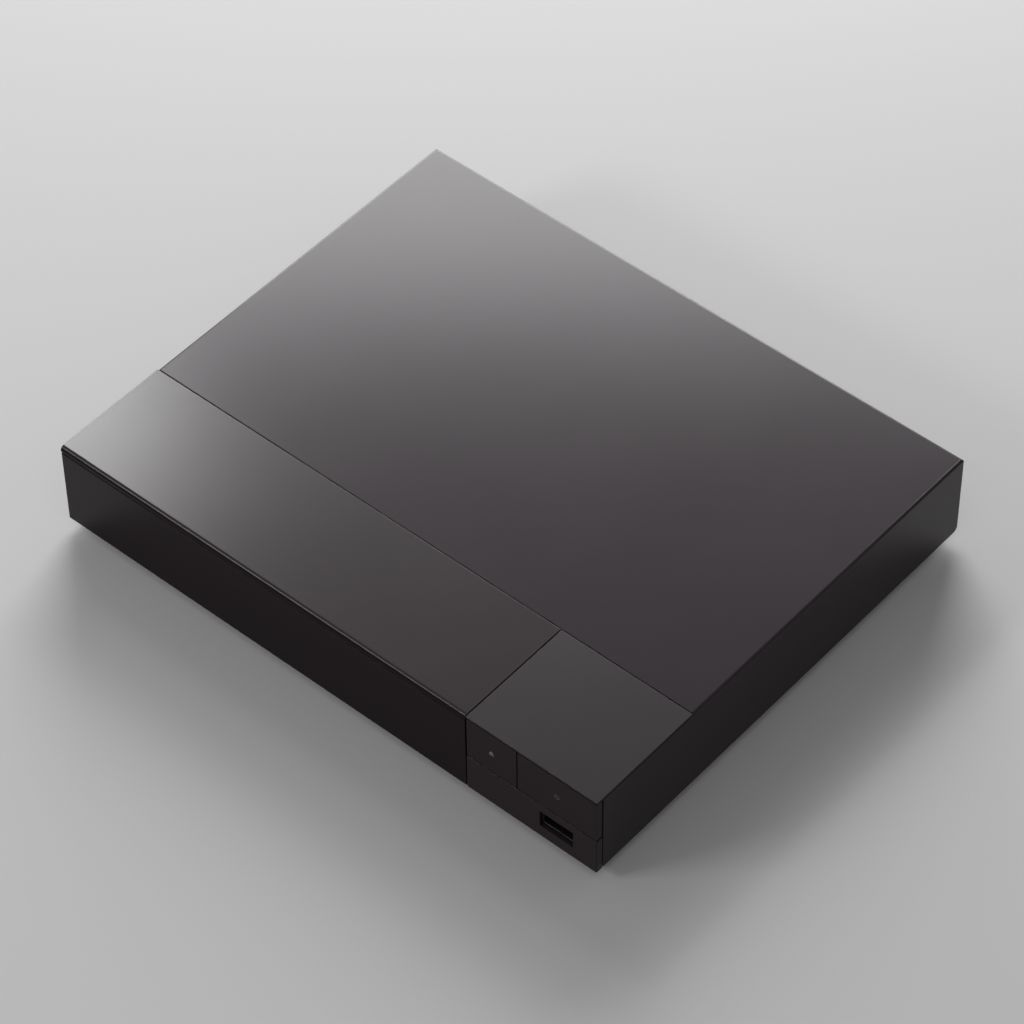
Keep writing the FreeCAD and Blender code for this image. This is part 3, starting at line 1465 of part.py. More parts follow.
keys = (
    dict(name="eject", x="eject_x", left="eject_left", right="eject_right"),
    dict(name="power", x="power_x", left="power_left", right="power_right"),
)
board_holes = [
    (x, y)
    for x in ("board_left+board_hole_inset", "board_right-board_hole_inset")
    for y in ("board_front+front_hole_inset", "board_rear-rear_hole_inset")
]
loader_holes = [
    (x, y)
    for x in both_sides("center_x", "loader_width/2-loader_hole_inset")
    for y in ("loader_front+loader_hole_front", "loader_rear-loader_hole_rear")
]
panel_board_holes = [
    (x, "key_z+panel_hole_rise") for x in ("panel_board_left+boss_radius", "panel_board_right-boss_radius")
]
lip_screws = ("left+lip_screw_inset", "0", "right-lip_screw_inset")
bridge_rows = ("loader_left-bridge_offset", "loader_right+bridge_offset")
bridge_lines = both_sides("spindle_y", "bridge_line")
shaft_rows = both_sides("center_x", "shaft_spread")

bottom_chassis()
rear_panel()
top_cover()
front_panel()
control_cover()
tray_door()
for key in keys:
    key_button(key)
feet()
disc_tray()
drive_gear()
pulley_gear()
motor_pulley()
loading_motor()
drive_belt()
loader_base()
clamp_bridge()
cam_slider()
traverse_frame()
spindle()
clamper()
guide_shafts()
sled_drive()
pickup_sled()
lens()
main_board()
heat_sink()
board_parts()
front_board()
flat_cables()
usb_socket()
lan_jack()
hdmi_socket()
coax_jack()
dc_jack()
fasteners()

doc.recompute()
for thing in doc.Objects:
    if "Invalid" in thing.State or "Error" in thing.State:
        raise RuntimeError(f"{thing.Label} failed")
for name, piece in pieces.items():
    if piece.Shape.isNull() or not piece.Shape.isValid():
        raise RuntimeError(f"{name} has no valid shape")
os.makedirs("parts", exist_ok=True)
for name, piece in pieces.items():
    piece.Shape.exportStep(f"parts/{name}.step")
print(len(pieces), "sub-parts")
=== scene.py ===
import json
import math

import bmesh
import bpy
import numpy as np
from mathutils import Matrix, Vector


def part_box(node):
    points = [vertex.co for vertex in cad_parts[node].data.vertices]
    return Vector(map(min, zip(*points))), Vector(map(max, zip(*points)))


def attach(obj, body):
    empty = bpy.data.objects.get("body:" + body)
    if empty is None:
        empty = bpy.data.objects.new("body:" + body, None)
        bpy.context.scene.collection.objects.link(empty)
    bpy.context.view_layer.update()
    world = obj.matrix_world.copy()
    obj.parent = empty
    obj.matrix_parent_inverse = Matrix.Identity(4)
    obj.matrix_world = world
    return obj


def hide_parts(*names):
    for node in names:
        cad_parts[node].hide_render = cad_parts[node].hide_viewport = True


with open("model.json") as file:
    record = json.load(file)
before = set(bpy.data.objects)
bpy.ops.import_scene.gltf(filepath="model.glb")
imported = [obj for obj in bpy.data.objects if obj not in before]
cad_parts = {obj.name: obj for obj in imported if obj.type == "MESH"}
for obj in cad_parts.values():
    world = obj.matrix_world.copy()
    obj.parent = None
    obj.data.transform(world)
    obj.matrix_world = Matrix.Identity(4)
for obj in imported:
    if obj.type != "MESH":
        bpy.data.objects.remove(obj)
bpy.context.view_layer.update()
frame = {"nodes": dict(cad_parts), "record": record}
nodeBody = {node: body for body, nodes in frame["record"]["behaviour"]["bodies"].items() for node in nodes}
nodeSlot = {row["node"]: row["material_slot"] for row in frame["record"]["subparts"]}
print("frame loaded:", len(nodeBody), "nodes")

mm = 0.001


def feed(tree, sockets, feeds):
    # each socket gets a link from another node or a constant; colours are written without their alpha
    for label, value in feeds.items():
        socket = sockets[label]
        if isinstance(value, bpy.types.NodeSocket):
            tree.links.new(value, socket)
        else:
            socket.default_value = (*value, 1) if socket.type == "RGBA" else value


def addNode(tree, kind, feeds, **settings):
    node = tree.nodes.new("ShaderNode" + kind)
    for setting, value in settings.items():
        setattr(node, setting, value)
    feed(tree, node.inputs, feeds)
    return node


def mathBy(operation):
    return lambda tree, *feeds: addNode(tree, "Math", dict(enumerate(feeds)), operation=operation).outputs[0]


times, plus, minus, larger = (mathBy(operation) for operation in ("MULTIPLY", "ADD", "SUBTRACT", "MAXIMUM"))
below, above = mathBy("LESS_THAN"), mathBy("GREATER_THAN")
absolute, fraction, root = (mathBy(operation) for operation in ("ABSOLUTE", "FRACT", "SQRT"))


def noise(tree, place, scale, **more):
    return addNode(tree, "TexNoise", {"Vector": place, "Scale": scale, **more}).outputs["Fac"]


def splitVector(tree, vector):
    return addNode(tree, "SeparateXYZ", {0: vector}).outputs


def mixColors(tree, amount, under, over):
    return addNode(tree, "Mix", {"Factor": amount, "A": under, "B": over}, data_type="RGBA").outputs["Result"]


def bumpNormal(tree, height, depth):
    return addNode(tree, "Bump", {"Strength": 1.0, "Distance": depth, "Height": height}).outputs["Normal"]


def between(tree, value, low, high):
    return times(tree, above(tree, value, low), below(tree, value, high))


def startGroup(name, inputs, outputs):
    # a node group with its inputs' values, each a number or a vector; its outputs are numbers
    group = bpy.data.node_groups.new(name, "ShaderNodeTree")
    for label, value in inputs.items():
        kind = "NodeSocketVector" if isinstance(value, tuple) else "NodeSocketFloat"
        group.interface.new_socket(name=label, in_out="INPUT", socket_type=kind).default_value = value
    for label in outputs:
        group.interface.new_socket(name=label, in_out="OUTPUT", socket_type="NodeSocketFloat")
    return group, group.nodes.new("NodeGroupInput").outputs, group.nodes.new("NodeGroupOutput").inputs


def useGroup(tree, group, **feeds):
    return addNode(tree, "Group", feeds, node_tree=group).outputs


def swingRough(group, given, value, middle):
    # the given roughness, moved by how far a value lies from its middle
    return plus(group, given["Rough"], times(group, minus(group, value, middle), given["Spread"]))


# Shader groups. Each puts out values that change over the surface, worked from Object coordinates in metres.

origin = (0.0, 0.0, 0.0)
grainLook = {"detail": 3.0, "roughness": 0.6, "driftScale": 22.0}
brushLook = {"stretch": (30.0, 2500.0, 2500.0), "detail": 2.0}


def makeGrainGroup():
    # fine pores over a slow drift: the pores give the height, both move the roughness
    inputs = {"Vector": origin, "Scale": 2500.0, "Rough": 0.4, "Spread": 0.05}
    group, given, made = startGroup("mouldGrain", inputs, ("Height", "Rough", "Drift"))
    place, detail = given["Vector"], grainLook["detail"]
    pores = noise(group, place, given["Scale"], Detail=detail, Roughness=grainLook["roughness"])
    drift = noise(group, place, grainLook["driftScale"], Detail=detail)
    rough = swingRough(group, given, plus(group, pores, drift), 1.0)
    feed(group, made, {"Height": pores, "Rough": rough, "Drift": drift})
    return group


def makeBrushGroup():
    # long thin streaks: noise on coordinates squeezed along the brushing
    inputs = {"Vector": origin, "Stretch": brushLook["stretch"], "Rough": 0.35, "Spread": 0.1}
    group, given, made = startGroup("brushLines", inputs, ("Height", "Rough"))
    squeezed = addNode(group, "VectorMath", {0: given["Vector"], 1: given["Stretch"]}, operation="MULTIPLY")
    streaks = noise(group, squeezed.outputs[0], 1.0, Detail=brushLook["detail"])
    feed(group, made, {"Height": streaks, "Rough": swingRough(group, given, streaks, 0.5)})
    return group


grainGroup = makeGrainGroup()
brushGroup = makeBrushGroup()


def startMaterial(name, color, metallic=0.0, specular=0.5):
    material = bpy.data.materials.new(name)
    material.use_nodes = True
    tree = material.node_tree
    shader = tree.nodes["Principled BSDF"]
    feed(tree, shader.inputs, {"Base Color": color, "Metallic": metallic, "Specular IOR Level": specular})
    return material, tree, shader, tree.nodes.new("ShaderNodeTexCoord").outputs["Object"]


def shade(color, amount):
    return [c * amount for c in color]


def moulded(name, color, rough, spread=0.06, scale=2500.0, depth=2e-6, specular=0.5, vary=0.12):
    # moulded plastic or paint: even colour with a slow drift, pores in the bump and the gloss
    material, tree, shader, place = startMaterial(name, color, specular=specular)
    grain = useGroup(tree, grainGroup, Vector=place, Scale=scale, Rough=rough, Spread=spread)
    drifting = mixColors(tree, grain["Drift"], shade(color, 1 - vary), shade(color, 1 + vary))
    normal = bumpNormal(tree, grain["Height"], depth)
    feed(tree, shader.inputs, {"Base Color": drifting, "Roughness": grain["Rough"], "Normal": normal})
    return material


def brushed(name, color, rough, stretch=brushLook["stretch"], metallic=1.0, spread=0.12, depth=1e-6):
    # rolled or brushed metal: streaks along the axis with the smallest stretch
    material, tree, shader, place = startMaterial(name, color, metallic=metallic)
    lines = useGroup(tree, brushGroup, Vector=place, Stretch=stretch, Rough=rough, Spread=spread)
    streaked = mixColors(tree, lines["Height"], shade(color, 0.9), color)
    normal = bumpNormal(tree, lines["Height"], depth)
    feed(tree, shader.inputs, {"Base Color": streaked, "Roughness": lines["Rough"], "Normal": normal})
    return material


paint = dict(spread=0.02, scale=3200.0, depth=1e-6)
gloss = dict(spread=0.02, scale=1800.0, depth=4e-7)
turned = (900.0, 900.0, 60.0)
coverPaint = moulded("coverPaint", (0.031, 0.0235, 0.029), 0.185, specular=0.36, vary=0.06, **paint)
# painted shade: a darker, less glossy copy of coverPaint for the cover's side faces, so that the sides look shaded
# beside the top
shadedSidePaint = moulded("shadedSidePaint", (0.0185, 0.0115, 0.0142), 0.3, specular=0.16, vary=0.08, **paint)
deckGloss = moulded("deckGloss", (0.029, 0.022, 0.026), 0.18, specular=0.54, vary=0.05, **gloss)
blockGloss = moulded("blockGloss", (0.0190, 0.0137, 0.0168), 0.25, specular=0.45, vary=0.05, **gloss)
blockFront = moulded("blockFront", (0.0200, 0.0125, 0.0165), 0.3, specular=0.14, vary=0.08, **gloss)
# painted shade: a much darker copy of the deck's gloss for faces turned to the front and the sides, made dark as if
# they stood in shade; the tray door takes it too
shadedFrontGloss = moulded("shadedFrontGloss", (0.0072, 0.0020, 0.0036), 0.3, specular=0.12, vary=0.08, **gloss)
rearPaint = moulded("rearPaint", (0.03, 0.03, 0.031), 0.5, scale=2600.0)
platedSteel = brushed("platedSteel", (0.55, 0.55, 0.53), 0.38)
trayBlack = moulded("trayBlack", (0.022, 0.022, 0.023), 0.55, scale=1700.0, depth=5e-6)
loaderBlack = moulded("loaderBlack", (0.03, 0.03, 0.033), 0.6, scale=1700.0, depth=5e-6)
gearWhite = moulded("gearWhite", (0.72, 0.7, 0.62), 0.42, scale=900.0, depth=1e-6)
motorSteel = brushed("motorSteel", (0.58, 0.58, 0.56), 0.3, turned)
groundSteel = brushed("groundSteel", (0.72, 0.72, 0.72), 0.16, (4000.0, 60.0, 4000.0))
castMetal = moulded("castMetal", (0.42, 0.42, 0.43), 0.5, scale=1200.0, depth=6e-6)
rubberBlack = moulded("rubberBlack", (0.018, 0.018, 0.018), 0.8, scale=1500.0, depth=6e-6)
chipBlack = moulded("chipBlack", (0.02, 0.02, 0.021), 0.55, scale=3000.0, depth=3e-6)
canMetal = brushed("canMetal", (0.6, 0.6, 0.62), 0.3, turned)
socketCream = moulded("socketCream", (0.66, 0.62, 0.5), 0.45)
jackBlack = moulded("jackBlack", (0.015, 0.015, 0.016), 0.45)
shellSteel = brushed("shellSteel", (0.66, 0.66, 0.63), 0.28)
portSteel = brushed("portSteel", (0.10, 0.095, 0.095), 0.4)
goldPlate = brushed("goldPlate", (0.83, 0.62, 0.27), 0.22)
orangeCore = moulded("orangeCore", (0.75, 0.26, 0.04), 0.45)
screwBlack = brushed("screwBlack", (0.1, 0.1, 0.1), 0.35)
sinkBlack = brushed("sinkBlack", (0.06, 0.06, 0.06), 0.4, metallic=0.6)
copperWire = brushed("copperWire", (0.78, 0.36, 0.17), 0.3, (900.0, 900.0, 9000.0))
greyPlastic = moulded("greyPlastic", (0.2, 0.19, 0.2), 0.4)

boardLook = {
    "lacquer": (0.010, 0.085, 0.036), "track": (0.022, 0.165, 0.07), "pad": (0.62, 0.6, 0.55),
    "hole": (0.02, 0.02, 0.02), "print": (0.6, 0.62, 0.58), "rough": 0.32, "relief": 2e-5, "lineHalf": 0.00011,
    "cells": 150.0, "alongU": 0.42, "alongV": 0.6, "slant": 0.7071, "tracks": 1250.0, "trackShare": 0.42,
    "patches": 70.0, "busyFrom": 0.46, "rings": 340.0, "loose": 0.35, "shownFrom": 0.66, "Ring": 0.15, "Hole": 0.07,
}


def makeTraceGroup():
    # printed tracks on a plane in metres: in each cell the tracks run along u, along v or slanted, as its random
    # value says, and are gaps in a saw wave of that place; rings stand on a loose grid where another is high
    look = boardLook
    group, given, made = startGroup("boardTracks", {"U": 0.0, "V": 0.0}, ("Track", "Ring", "Hole"))
    u, v = given["U"], given["V"]
    flat = addNode(group, "CombineXYZ", {"X": u, "Y": v}).outputs[0]
    cells = addNode(group, "TexVoronoi", {"Vector": flat, "Scale": look["cells"]}, distance="MANHATTAN")
    pick = splitVector(group, cells.outputs["Color"])["X"]
    alongU = below(group, pick, look["alongU"])
    alongV = above(group, pick, look["alongV"])
    aslant = minus(group, minus(group, 1.0, alongU), alongV)
    slant = times(group, plus(group, u, v), look["slant"])
    straight = plus(group, times(group, v, alongU), times(group, u, alongV))
    place = plus(group, straight, times(group, slant, aslant))
    saw = fraction(group, times(group, place, look["tracks"]))
    busy = above(group, noise(group, flat, look["patches"]), look["busyFrom"])
    marks = {"Track": times(group, below(group, saw, look["trackShare"]), busy)}
    grid = {"Vector": flat, "Scale": look["rings"], "Randomness": look["loose"]}
    spots = addNode(group, "TexVoronoi", grid).outputs
    shown = above(group, splitVector(group, spots["Color"])["Y"], look["shownFrom"])
    for label in ("Ring", "Hole"):
        inside = below(group, spots["Distance"], look[label])
        marks[label] = times(group, inside, shown)
    feed(group, made, marks)
    return group


def makeOutlineGroup():
    # the printed line round a component: where the larger of |u| - half width and |v| - half depth is near nothing
    inputs = dict.fromkeys(("U", "V", "MiddleU", "MiddleV", "HalfU", "HalfV"), 0.0)
    group, given, made = startGroup("printedOutline", inputs, ("Mask",))
    over = []
    for way in "UV":
        away = absolute(group, minus(group, given[way], given["Middle" + way]))
        over.append(minus(group, away, given["Half" + way]))
    rim = absolute(group, larger(group, *over))
    feed(group, made, {"Mask": below(group, rim, boardLook["lineHalf"])})
    return group


traceGroup = makeTraceGroup()
outlineGroup = makeOutlineGroup()


def boardMaterial(name, ways, outlines):
    # lacquered board: tracks a shade lighter under the lacquer, tinned rings, and printed outlines in millimetres
    look = boardLook
    material, tree, shader, place = startMaterial(name, look["lacquer"])
    axes = splitVector(tree, place)
    plane = dict(U=axes[ways[0]], V=axes[ways[1]])
    tracks = useGroup(tree, traceGroup, **plane)
    lines = 0.0
    for sizes in outlines:
        sizes = dict(zip(("MiddleU", "MiddleV", "HalfU", "HalfV"), shade(sizes, mm)))
        lines = larger(tree, lines, useGroup(tree, outlineGroup, **plane, **sizes)["Mask"])
    color = mixColors(tree, tracks["Track"], look["lacquer"], look["track"])
    for amount, layer in ((tracks["Ring"], "pad"), (tracks["Hole"], "hole"), (lines, "print")):
        color = mixColors(tree, amount, color, look[layer])
    relief = larger(tree, tracks["Track"], tracks["Ring"])
    bare = minus(tree, tracks["Ring"], tracks["Hole"])
    normal = bumpNormal(tree, relief, look["relief"])
    feed(tree, shader.inputs, {"Base Color": color, "Metallic": bare, "Roughness": look["rough"], "Normal": normal})
    return material


ribbonLook = {
    "film": (0.66, 0.66, 0.63), "wire": (0.4, 0.41, 0.42), "wires": 1000.0, "from": 0.22, "to": 0.78, "rough": 0.45,
    "smoother": 0.15, "relief": 4e-5,
}


def ribbonMaterial(name, way):
    # flat cable: tinned conductors under a white film, as bands across its width
    look = ribbonLook
    material, tree, shader, place = startMaterial(name, look["film"])
    saw = fraction(tree, times(tree, splitVector(tree, place)[way], look["wires"]))
    band = between(tree, saw, look["from"], look["to"])
    color = mixColors(tree, band, look["film"], look["wire"])
    rough = minus(tree, look["rough"], times(tree, band, look["smoother"]))
    normal = bumpNormal(tree, band, look["relief"])
    feed(tree, shader.inputs, {"Base Color": color, "Roughness": rough, "Normal": normal})
    return material


def overpaint(material, color, makeMask):
    # a second colour over a material's own, where a mask worked from the place says so
    tree = material.node_tree
    base = tree.nodes["Principled BSDF"].inputs["Base Color"]
    mask = makeMask(tree, tree.nodes["Texture Coordinate"].outputs["Object"])
    tree.links.new(mixColors(tree, mask, base.links[0].from_socket, color), base)
    return material


def glassMaterial(name, color, rough, weight=0.6, scale=300.0):
    # moulded glass: clear, tinted, with a coating whose tint drifts
    material, tree, shader, place = startMaterial(name, color)
    lighter = [min(1.0, c) for c in shade(color, 1.3)]
    tint = mixColors(tree, noise(tree, place, scale), color, lighter)
    feed(tree, shader.inputs, {"Transmission Weight": weight, "Roughness": rough, "Base Color": tint})
    return material


# printed outlines in millimetres: the middle in both ways of the board, then half the size in both
mainOutlines = [(87.0, -4.0, 14.3, 14.3), (55.0, -13.5, 4.7, 7.2), (55.0, 5.5, 4.7, 7.2)]
mainOutlines += [(87.5, y, 4.2, 4.2) for y in (31.5, 43.5, 55.5)] + [(100.0, y, 3.9, 3.9) for y in (28.0, 40.0)]
keyOutlines = [(72.15, 29.05, 3.5, 3.5), (98.8, 29.05, 3.5, 3.5)]
canLook = {
    "film": (0.018, 0.02, 0.035), "stripe": (0.42, 0.43, 0.45), "stripeFrom": 102.5,
    "foot": [(-0.4, 0.0), (-0.3, 0.15), (-0.3, 0.9), (-0.5, 1.2), (-0.5, 1.45), (-0.1, 1.85), (0.0, 2.2)],
    "shoulder": [(0.0, -0.5), (-0.1, -0.2), (-0.3, -0.04), (-0.5, 0.0), (-0.55, -0.12)],
    "lidInset": 0.58, "lidSunk": 0.05, "lidUnder": 0.14, "scoreWidth": 0.09, "scoreDepth": 0.1, "scoreShare": 0.8,
    "dish": 0.07, "rings": 24, "steps": 72,
}


def canStripe(tree, place):
    return above(tree, splitVector(tree, place)["X"], canLook["stripeFrom"] * mm)


mainBoardGreen = boardMaterial("mainBoardGreen", "XY", mainOutlines)
frontBoardGreen = boardMaterial("frontBoardGreen", "XZ", keyOutlines)
frontRibbon = ribbonMaterial("frontRibbon", "X")
pickupRibbon = ribbonMaterial("pickupRibbon", "Y")
canSleeve = moulded("canSleeve", canLook["film"], 0.3, scale=500.0, depth=1e-6)
canSleeve = overpaint(canSleeve, canLook["stripe"], canStripe)
lensBlue = glassMaterial("lensBlue", (0.25, 0.32, 0.62), 0.05)
lampLens = glassMaterial("lampLens", (0.75, 0.2, 0.14), 0.12)
eyeDark = glassMaterial("eyeDark", (0.05, 0.012, 0.014), 0.1)
print("materials made")

slotMaterial = {
    "cover_paint": coverPaint,
    "rear_paint": rearPaint,
    "plated_steel": platedSteel,
    "front_gloss": shadedFrontGloss,
    "key_plastic": shadedFrontGloss,
    "switch_plastic": chipBlack,
    "plunger_plastic": greyPlastic,
    "rubber_black": rubberBlack,
    "tray_plastic": trayBlack,
    "loader_plastic": loaderBlack,
    "gear_plastic": gearWhite,
    "motor_steel": motorSteel,
    "ground_steel": groundSteel,
    "spindle_base": castMetal,
    "turntable_plastic": trayBlack,
    "magnet_steel": motorSteel,
    "pickup_metal": castMetal,
    "lens_plastic": chipBlack,
    "lens_glass": lensBlue,
    "board_green": mainBoardGreen,
    "sink_metal": sinkBlack,
    "chip_plastic": chipBlack,
    "can_metal": canMetal,
    "lamp_glass": lampLens,
    "ribbon": frontRibbon,
    "socket_plastic": socketCream,
    "jack_plastic": jackBlack,
    "socket_steel": shellSteel,
    "sleeve_metal": goldPlate,
    "core_plastic": orangeCore,
    "screw_steel": screwBlack,
}
for node, thing in frame["nodes"].items():
    thing.data.materials.clear()
    thing.data.materials.append(slotMaterial[nodeSlot[node]])


def addObject(name, data):
    thing = bpy.data.objects.new(name, data)
    bpy.context.scene.collection.objects.link(thing)
    return thing


def placePiece(name, mesh, materials, body, replaces=()):
    for material in materials:
        mesh.materials.append(material)
    piece = addObject(name, mesh)
    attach(piece, body)
    if replaces:
        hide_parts(*replaces)
    return piece


edgeLook = {"merge": 1e-6, "dissolve": 0.4, "flat": 0.5, "sharp": 28.0, "smooth": 38.0}


def softEdges(node, name, material, width, segments=3, crowd=0, clamp=True):
    # a copy of a CAD node, merged, its flat faces joined and cut again into few triangles and quads, because a
    # bevel folds a flat face with holes in it, and its edges rounded by a Bevel
    dissolve, flat, sharp = (math.radians(edgeLook[angle]) for angle in ("dissolve", "flat", "sharp"))
    work = bmesh.new()
    work.from_mesh(frame["nodes"][node].data)
    bmesh.ops.remove_doubles(work, verts=work.verts, dist=edgeLook["merge"])
    bmesh.ops.dissolve_limit(work, angle_limit=dissolve, verts=work.verts, edges=work.edges)
    bmesh.ops.triangulate(work, faces=work.faces, quad_method="BEAUTY", ngon_method="BEAUTY")
    bmesh.ops.join_triangles(work, faces=work.faces, angle_face_threshold=flat, angle_shape_threshold=math.pi)
    if crowd:
        # edges that end where so many sharp edges meet stay sharp, because a bevel tears there
        weight = work.edges.layers.float.new("bevel_weight_edge")
        folds = {edge for edge in work.edges if edge.calc_face_angle(0) > sharp}
        for edge in folds:
            edge[weight] = float(all(len(folds.intersection(vert.link_edges)) < crowd for vert in edge.verts))
    mesh = bpy.data.meshes.new(name)
    work.to_mesh(mesh)
    work.free()
    if "custom_normal" in mesh.attributes:
        mesh.attributes.remove(mesh.attributes["custom_normal"])
    mesh.shade_smooth()
    piece = placePiece(name, mesh, [material], nodeBody[node], (node,))
    bevel = piece.modifiers.new("edges", "BEVEL")
    bevel.width = width * mm
    bevel.segments = segments
    bevel.limit_method = "WEIGHT" if crowd else "ANGLE"
    bevel.angle_limit = sharp
    bevel.miter_outer = "MITER_ARC"
    bevel.loop_slide = False
    bevel.use_clamp_overlap = clamp
    even = piece.modifiers.new("even", "WEIGHTED_NORMAL")
    even.keep_sharp = True
    even.weight = 100
    return piece


def gridFaces(rows, columns):
    # quads between neighbouring rows of a grid whose last column joins its first
    row = np.arange(rows - 1)[:, None]
    column = np.arange(columns)[None, :]
    after = (column + 1) % columns
    quads = [row * columns + column, row * columns + after, (row + 1) * columns + after, (row + 1) * columns + column]
    return np.stack(quads, axis=-1).reshape(-1, 4)


def makeSurfaces(name, body, slot, *coats, replaces=()):
    # one piece from coats, each a material and its closed grids in millimetres: doubles at seams and poles are
    # merged and the faces turned outwards
    points, faces, finish, start = [], [], [], 0
    for number, (_, grids) in enumerate(coats):
        for grid in grids:
            rows, columns = grid.shape[:2]
            points.append(grid.reshape(-1, 3) * mm)
            quads = gridFaces(rows, columns)
            faces.append(quads + start)
            finish.append(np.full(len(quads), number, np.int32))
            start += rows * columns
    mesh = bpy.data.meshes.new(name)
    mesh.from_pydata(np.concatenate(points).tolist(), [], np.concatenate(faces).tolist())
    mesh.polygons.foreach_set("material_index", np.concatenate(finish))
    work = bmesh.new()
    work.from_mesh(mesh)
    bmesh.ops.remove_doubles(work, verts=work.verts, dist=2e-7)
    bmesh.ops.recalc_face_normals(work, faces=work.faces)
    work.to_mesh(mesh)
    work.free()
    mesh.shade_smooth()
    mesh.set_sharp_from_angle(angle=math.radians(edgeLook["smooth"]))
    return placePiece(name, mesh, [material for material, _ in coats], body, replaces)


def standIn(node, name, *coats):
    # the piece that a CAD node is shown by
    return makeSurfaces(name, nodeBody[node], nodeSlot[node], *coats, replaces=(node,))


def aroundAxis(profile, centre, axis="Z", steps=48):
    # a profile of (radius, height) turned round an axis: x = r cos a, y = r sin a, z = h, with the axes renamed
    angle = np.linspace(0, 2 * np.pi, steps, endpoint=False)
    radius, height = np.array(profile, float).T
    across = radius[:, None] * np.cos(angle)
    along = radius[:, None] * np.sin(angle)
    up = np.repeat(height[:, None], steps, axis=1)
    order = {"Z": (across, along, up), "Y": (along, up, across), "X": (up, across, along)}[axis]
    return np.stack(order, axis=-1) + np.array(centre, float)


endInset = 1.6


def roundSlab(low, high, corner, edge, axis="Z", steps=5, rim=3, top=()):
    # a block: a rectangle with round corners carried along the axis, shrinking at both ends along a quarter circle
    # and closing on its middle; top lists (radius, height) circles that the far end runs through on its way in;
    # the end faces begin with a ring drawn in by endInset edges
    order = {"Z": (0, 1, 2), "Y": (2, 0, 1), "X": (1, 2, 0)}[axis]
    low, high = (np.array(p, float)[list(order)] for p in (low, high))
    middle, half = (low + high)[:2] / 2, (high - low)[:2] / 2
    angle = np.radians(np.linspace(0, 90, steps)[None, :] + np.arange(0, 360, 90)[:, None])
    sign = np.array([(1, 1), (-1, 1), (-1, -1), (1, -1)])[:, None, :]
    ring = np.stack([np.cos(angle), np.sin(angle)], axis=-1)
    bend = np.radians(np.linspace(0, 90, rim + 1))
    inset = np.concatenate([[endInset], 1 - np.sin(bend), 1 - np.sin(bend[::-1]), [endInset]]) * edge
    rise = np.concatenate([[0], 1 - np.cos(bend)]) * edge
    height = np.concatenate([low[2] + rise, high[2] - rise[::-1]])
    around = np.maximum(corner - inset, 0)[:, None, None, None] * ring
    shift = np.minimum(corner - inset, 0)[:, None, None, None]
    flat = (sign * (half - corner) + around + sign * shift).reshape(len(inset), -1, 2)
    rows = [np.zeros_like(flat[:1]), flat]
    levels = [low[2:], height]
    away = flat[-1] / np.linalg.norm(flat[-1], axis=1)[:, None]
    for radius, level in top:
        rows.append((away * radius)[None])
        levels.append([level])
    rows.append(np.zeros_like(flat[:1]))
    levels.append([levels[-1][-1]])
    flat = np.concatenate(rows)
    grid = np.empty((*flat.shape[:2], 3))
    grid[..., order[0]], grid[..., order[1]] = flat[..., 0] + middle[0], flat[..., 1] + middle[1]
    grid[..., order[2]] = np.concatenate(levels)[:, None]
    return grid


def stripAlong(path, width, thick, side=(1, 0, 0)):
    # a flat strip: a rectangle of width by thickness carried along a path, square to it, its width along one side
    path = np.array(path, float)
    run = np.gradient(path, axis=0)
    run /= np.linalg.norm(run, axis=1)[:, None]
    side = np.array(side, float)
    face = np.cross(run, side)
    face /= np.linalg.norm(face, axis=1)[:, None]
    ring = [(-1, -1), (1, -1), (1, 1), (-1, 1)]
    body = np.stack([path + a * side * width / 2 + b * face * thick / 2 for a, b in ring], axis=1)
    caps = [np.repeat(path[i][None, None], 4, axis=1) for i in (0, -1)]
    return np.concatenate([caps[0], body, caps[1]], axis=0)


def smoothPath(points, steps=6):
    # a path through points: a Catmull-Rom curve, each stretch from the two points at its ends and their neighbours
    points = np.array(points, float)
    full = np.concatenate([2 * points[:1] - points[1:2], points, 2 * points[-1:] - points[-2:-1]])
    share = np.linspace(0, 1, steps, endpoint=False)[:, None]
    out = []
    for a, b, c, d in zip(full[:-3], full[1:-2], full[2:-1], full[3:]):
        bend = (2 * a - 5 * b + 4 * c - d) * share**2
        out.append(0.5 * (2 * b + (c - a) * share + bend + (3 * b - a - 3 * c + d) * share**3))
    return np.concatenate(out + [points[-1:]])


def islandBoxes(node):
    # the low and high corners, in millimetres, of each separate solid of a node: points at one place are one
    # spot, and each spot takes the lowest label of its triangles until nothing changes
    mesh = frame["nodes"][node].data
    points, corners = np.empty(len(mesh.vertices) * 3), np.empty(len(mesh.loops), np.int32)
    mesh.vertices.foreach_get("co", points)
    mesh.loops.foreach_get("vertex_index", corners)
    spots, same = np.unique((points.reshape(-1, 3) / mm).round(3), axis=0, return_inverse=True)
    corners = same.ravel()[corners].reshape(-1, 3)
    label, after = None, np.arange(len(spots))
    while label is None or (label != after).any():
        label = after
        after = label.copy()
        np.minimum.at(after, corners.ravel(), label[corners].min(axis=1).repeat(3))
    return [(spots[label == k].min(axis=0), spots[label == k].max(axis=0)) for k in np.unique(label)]


def nodeCorners(node):
    return [np.array(corner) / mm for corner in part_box(node)]


def shifted(points, across, along):
    return [(across + a, along + b) for a, b in points]


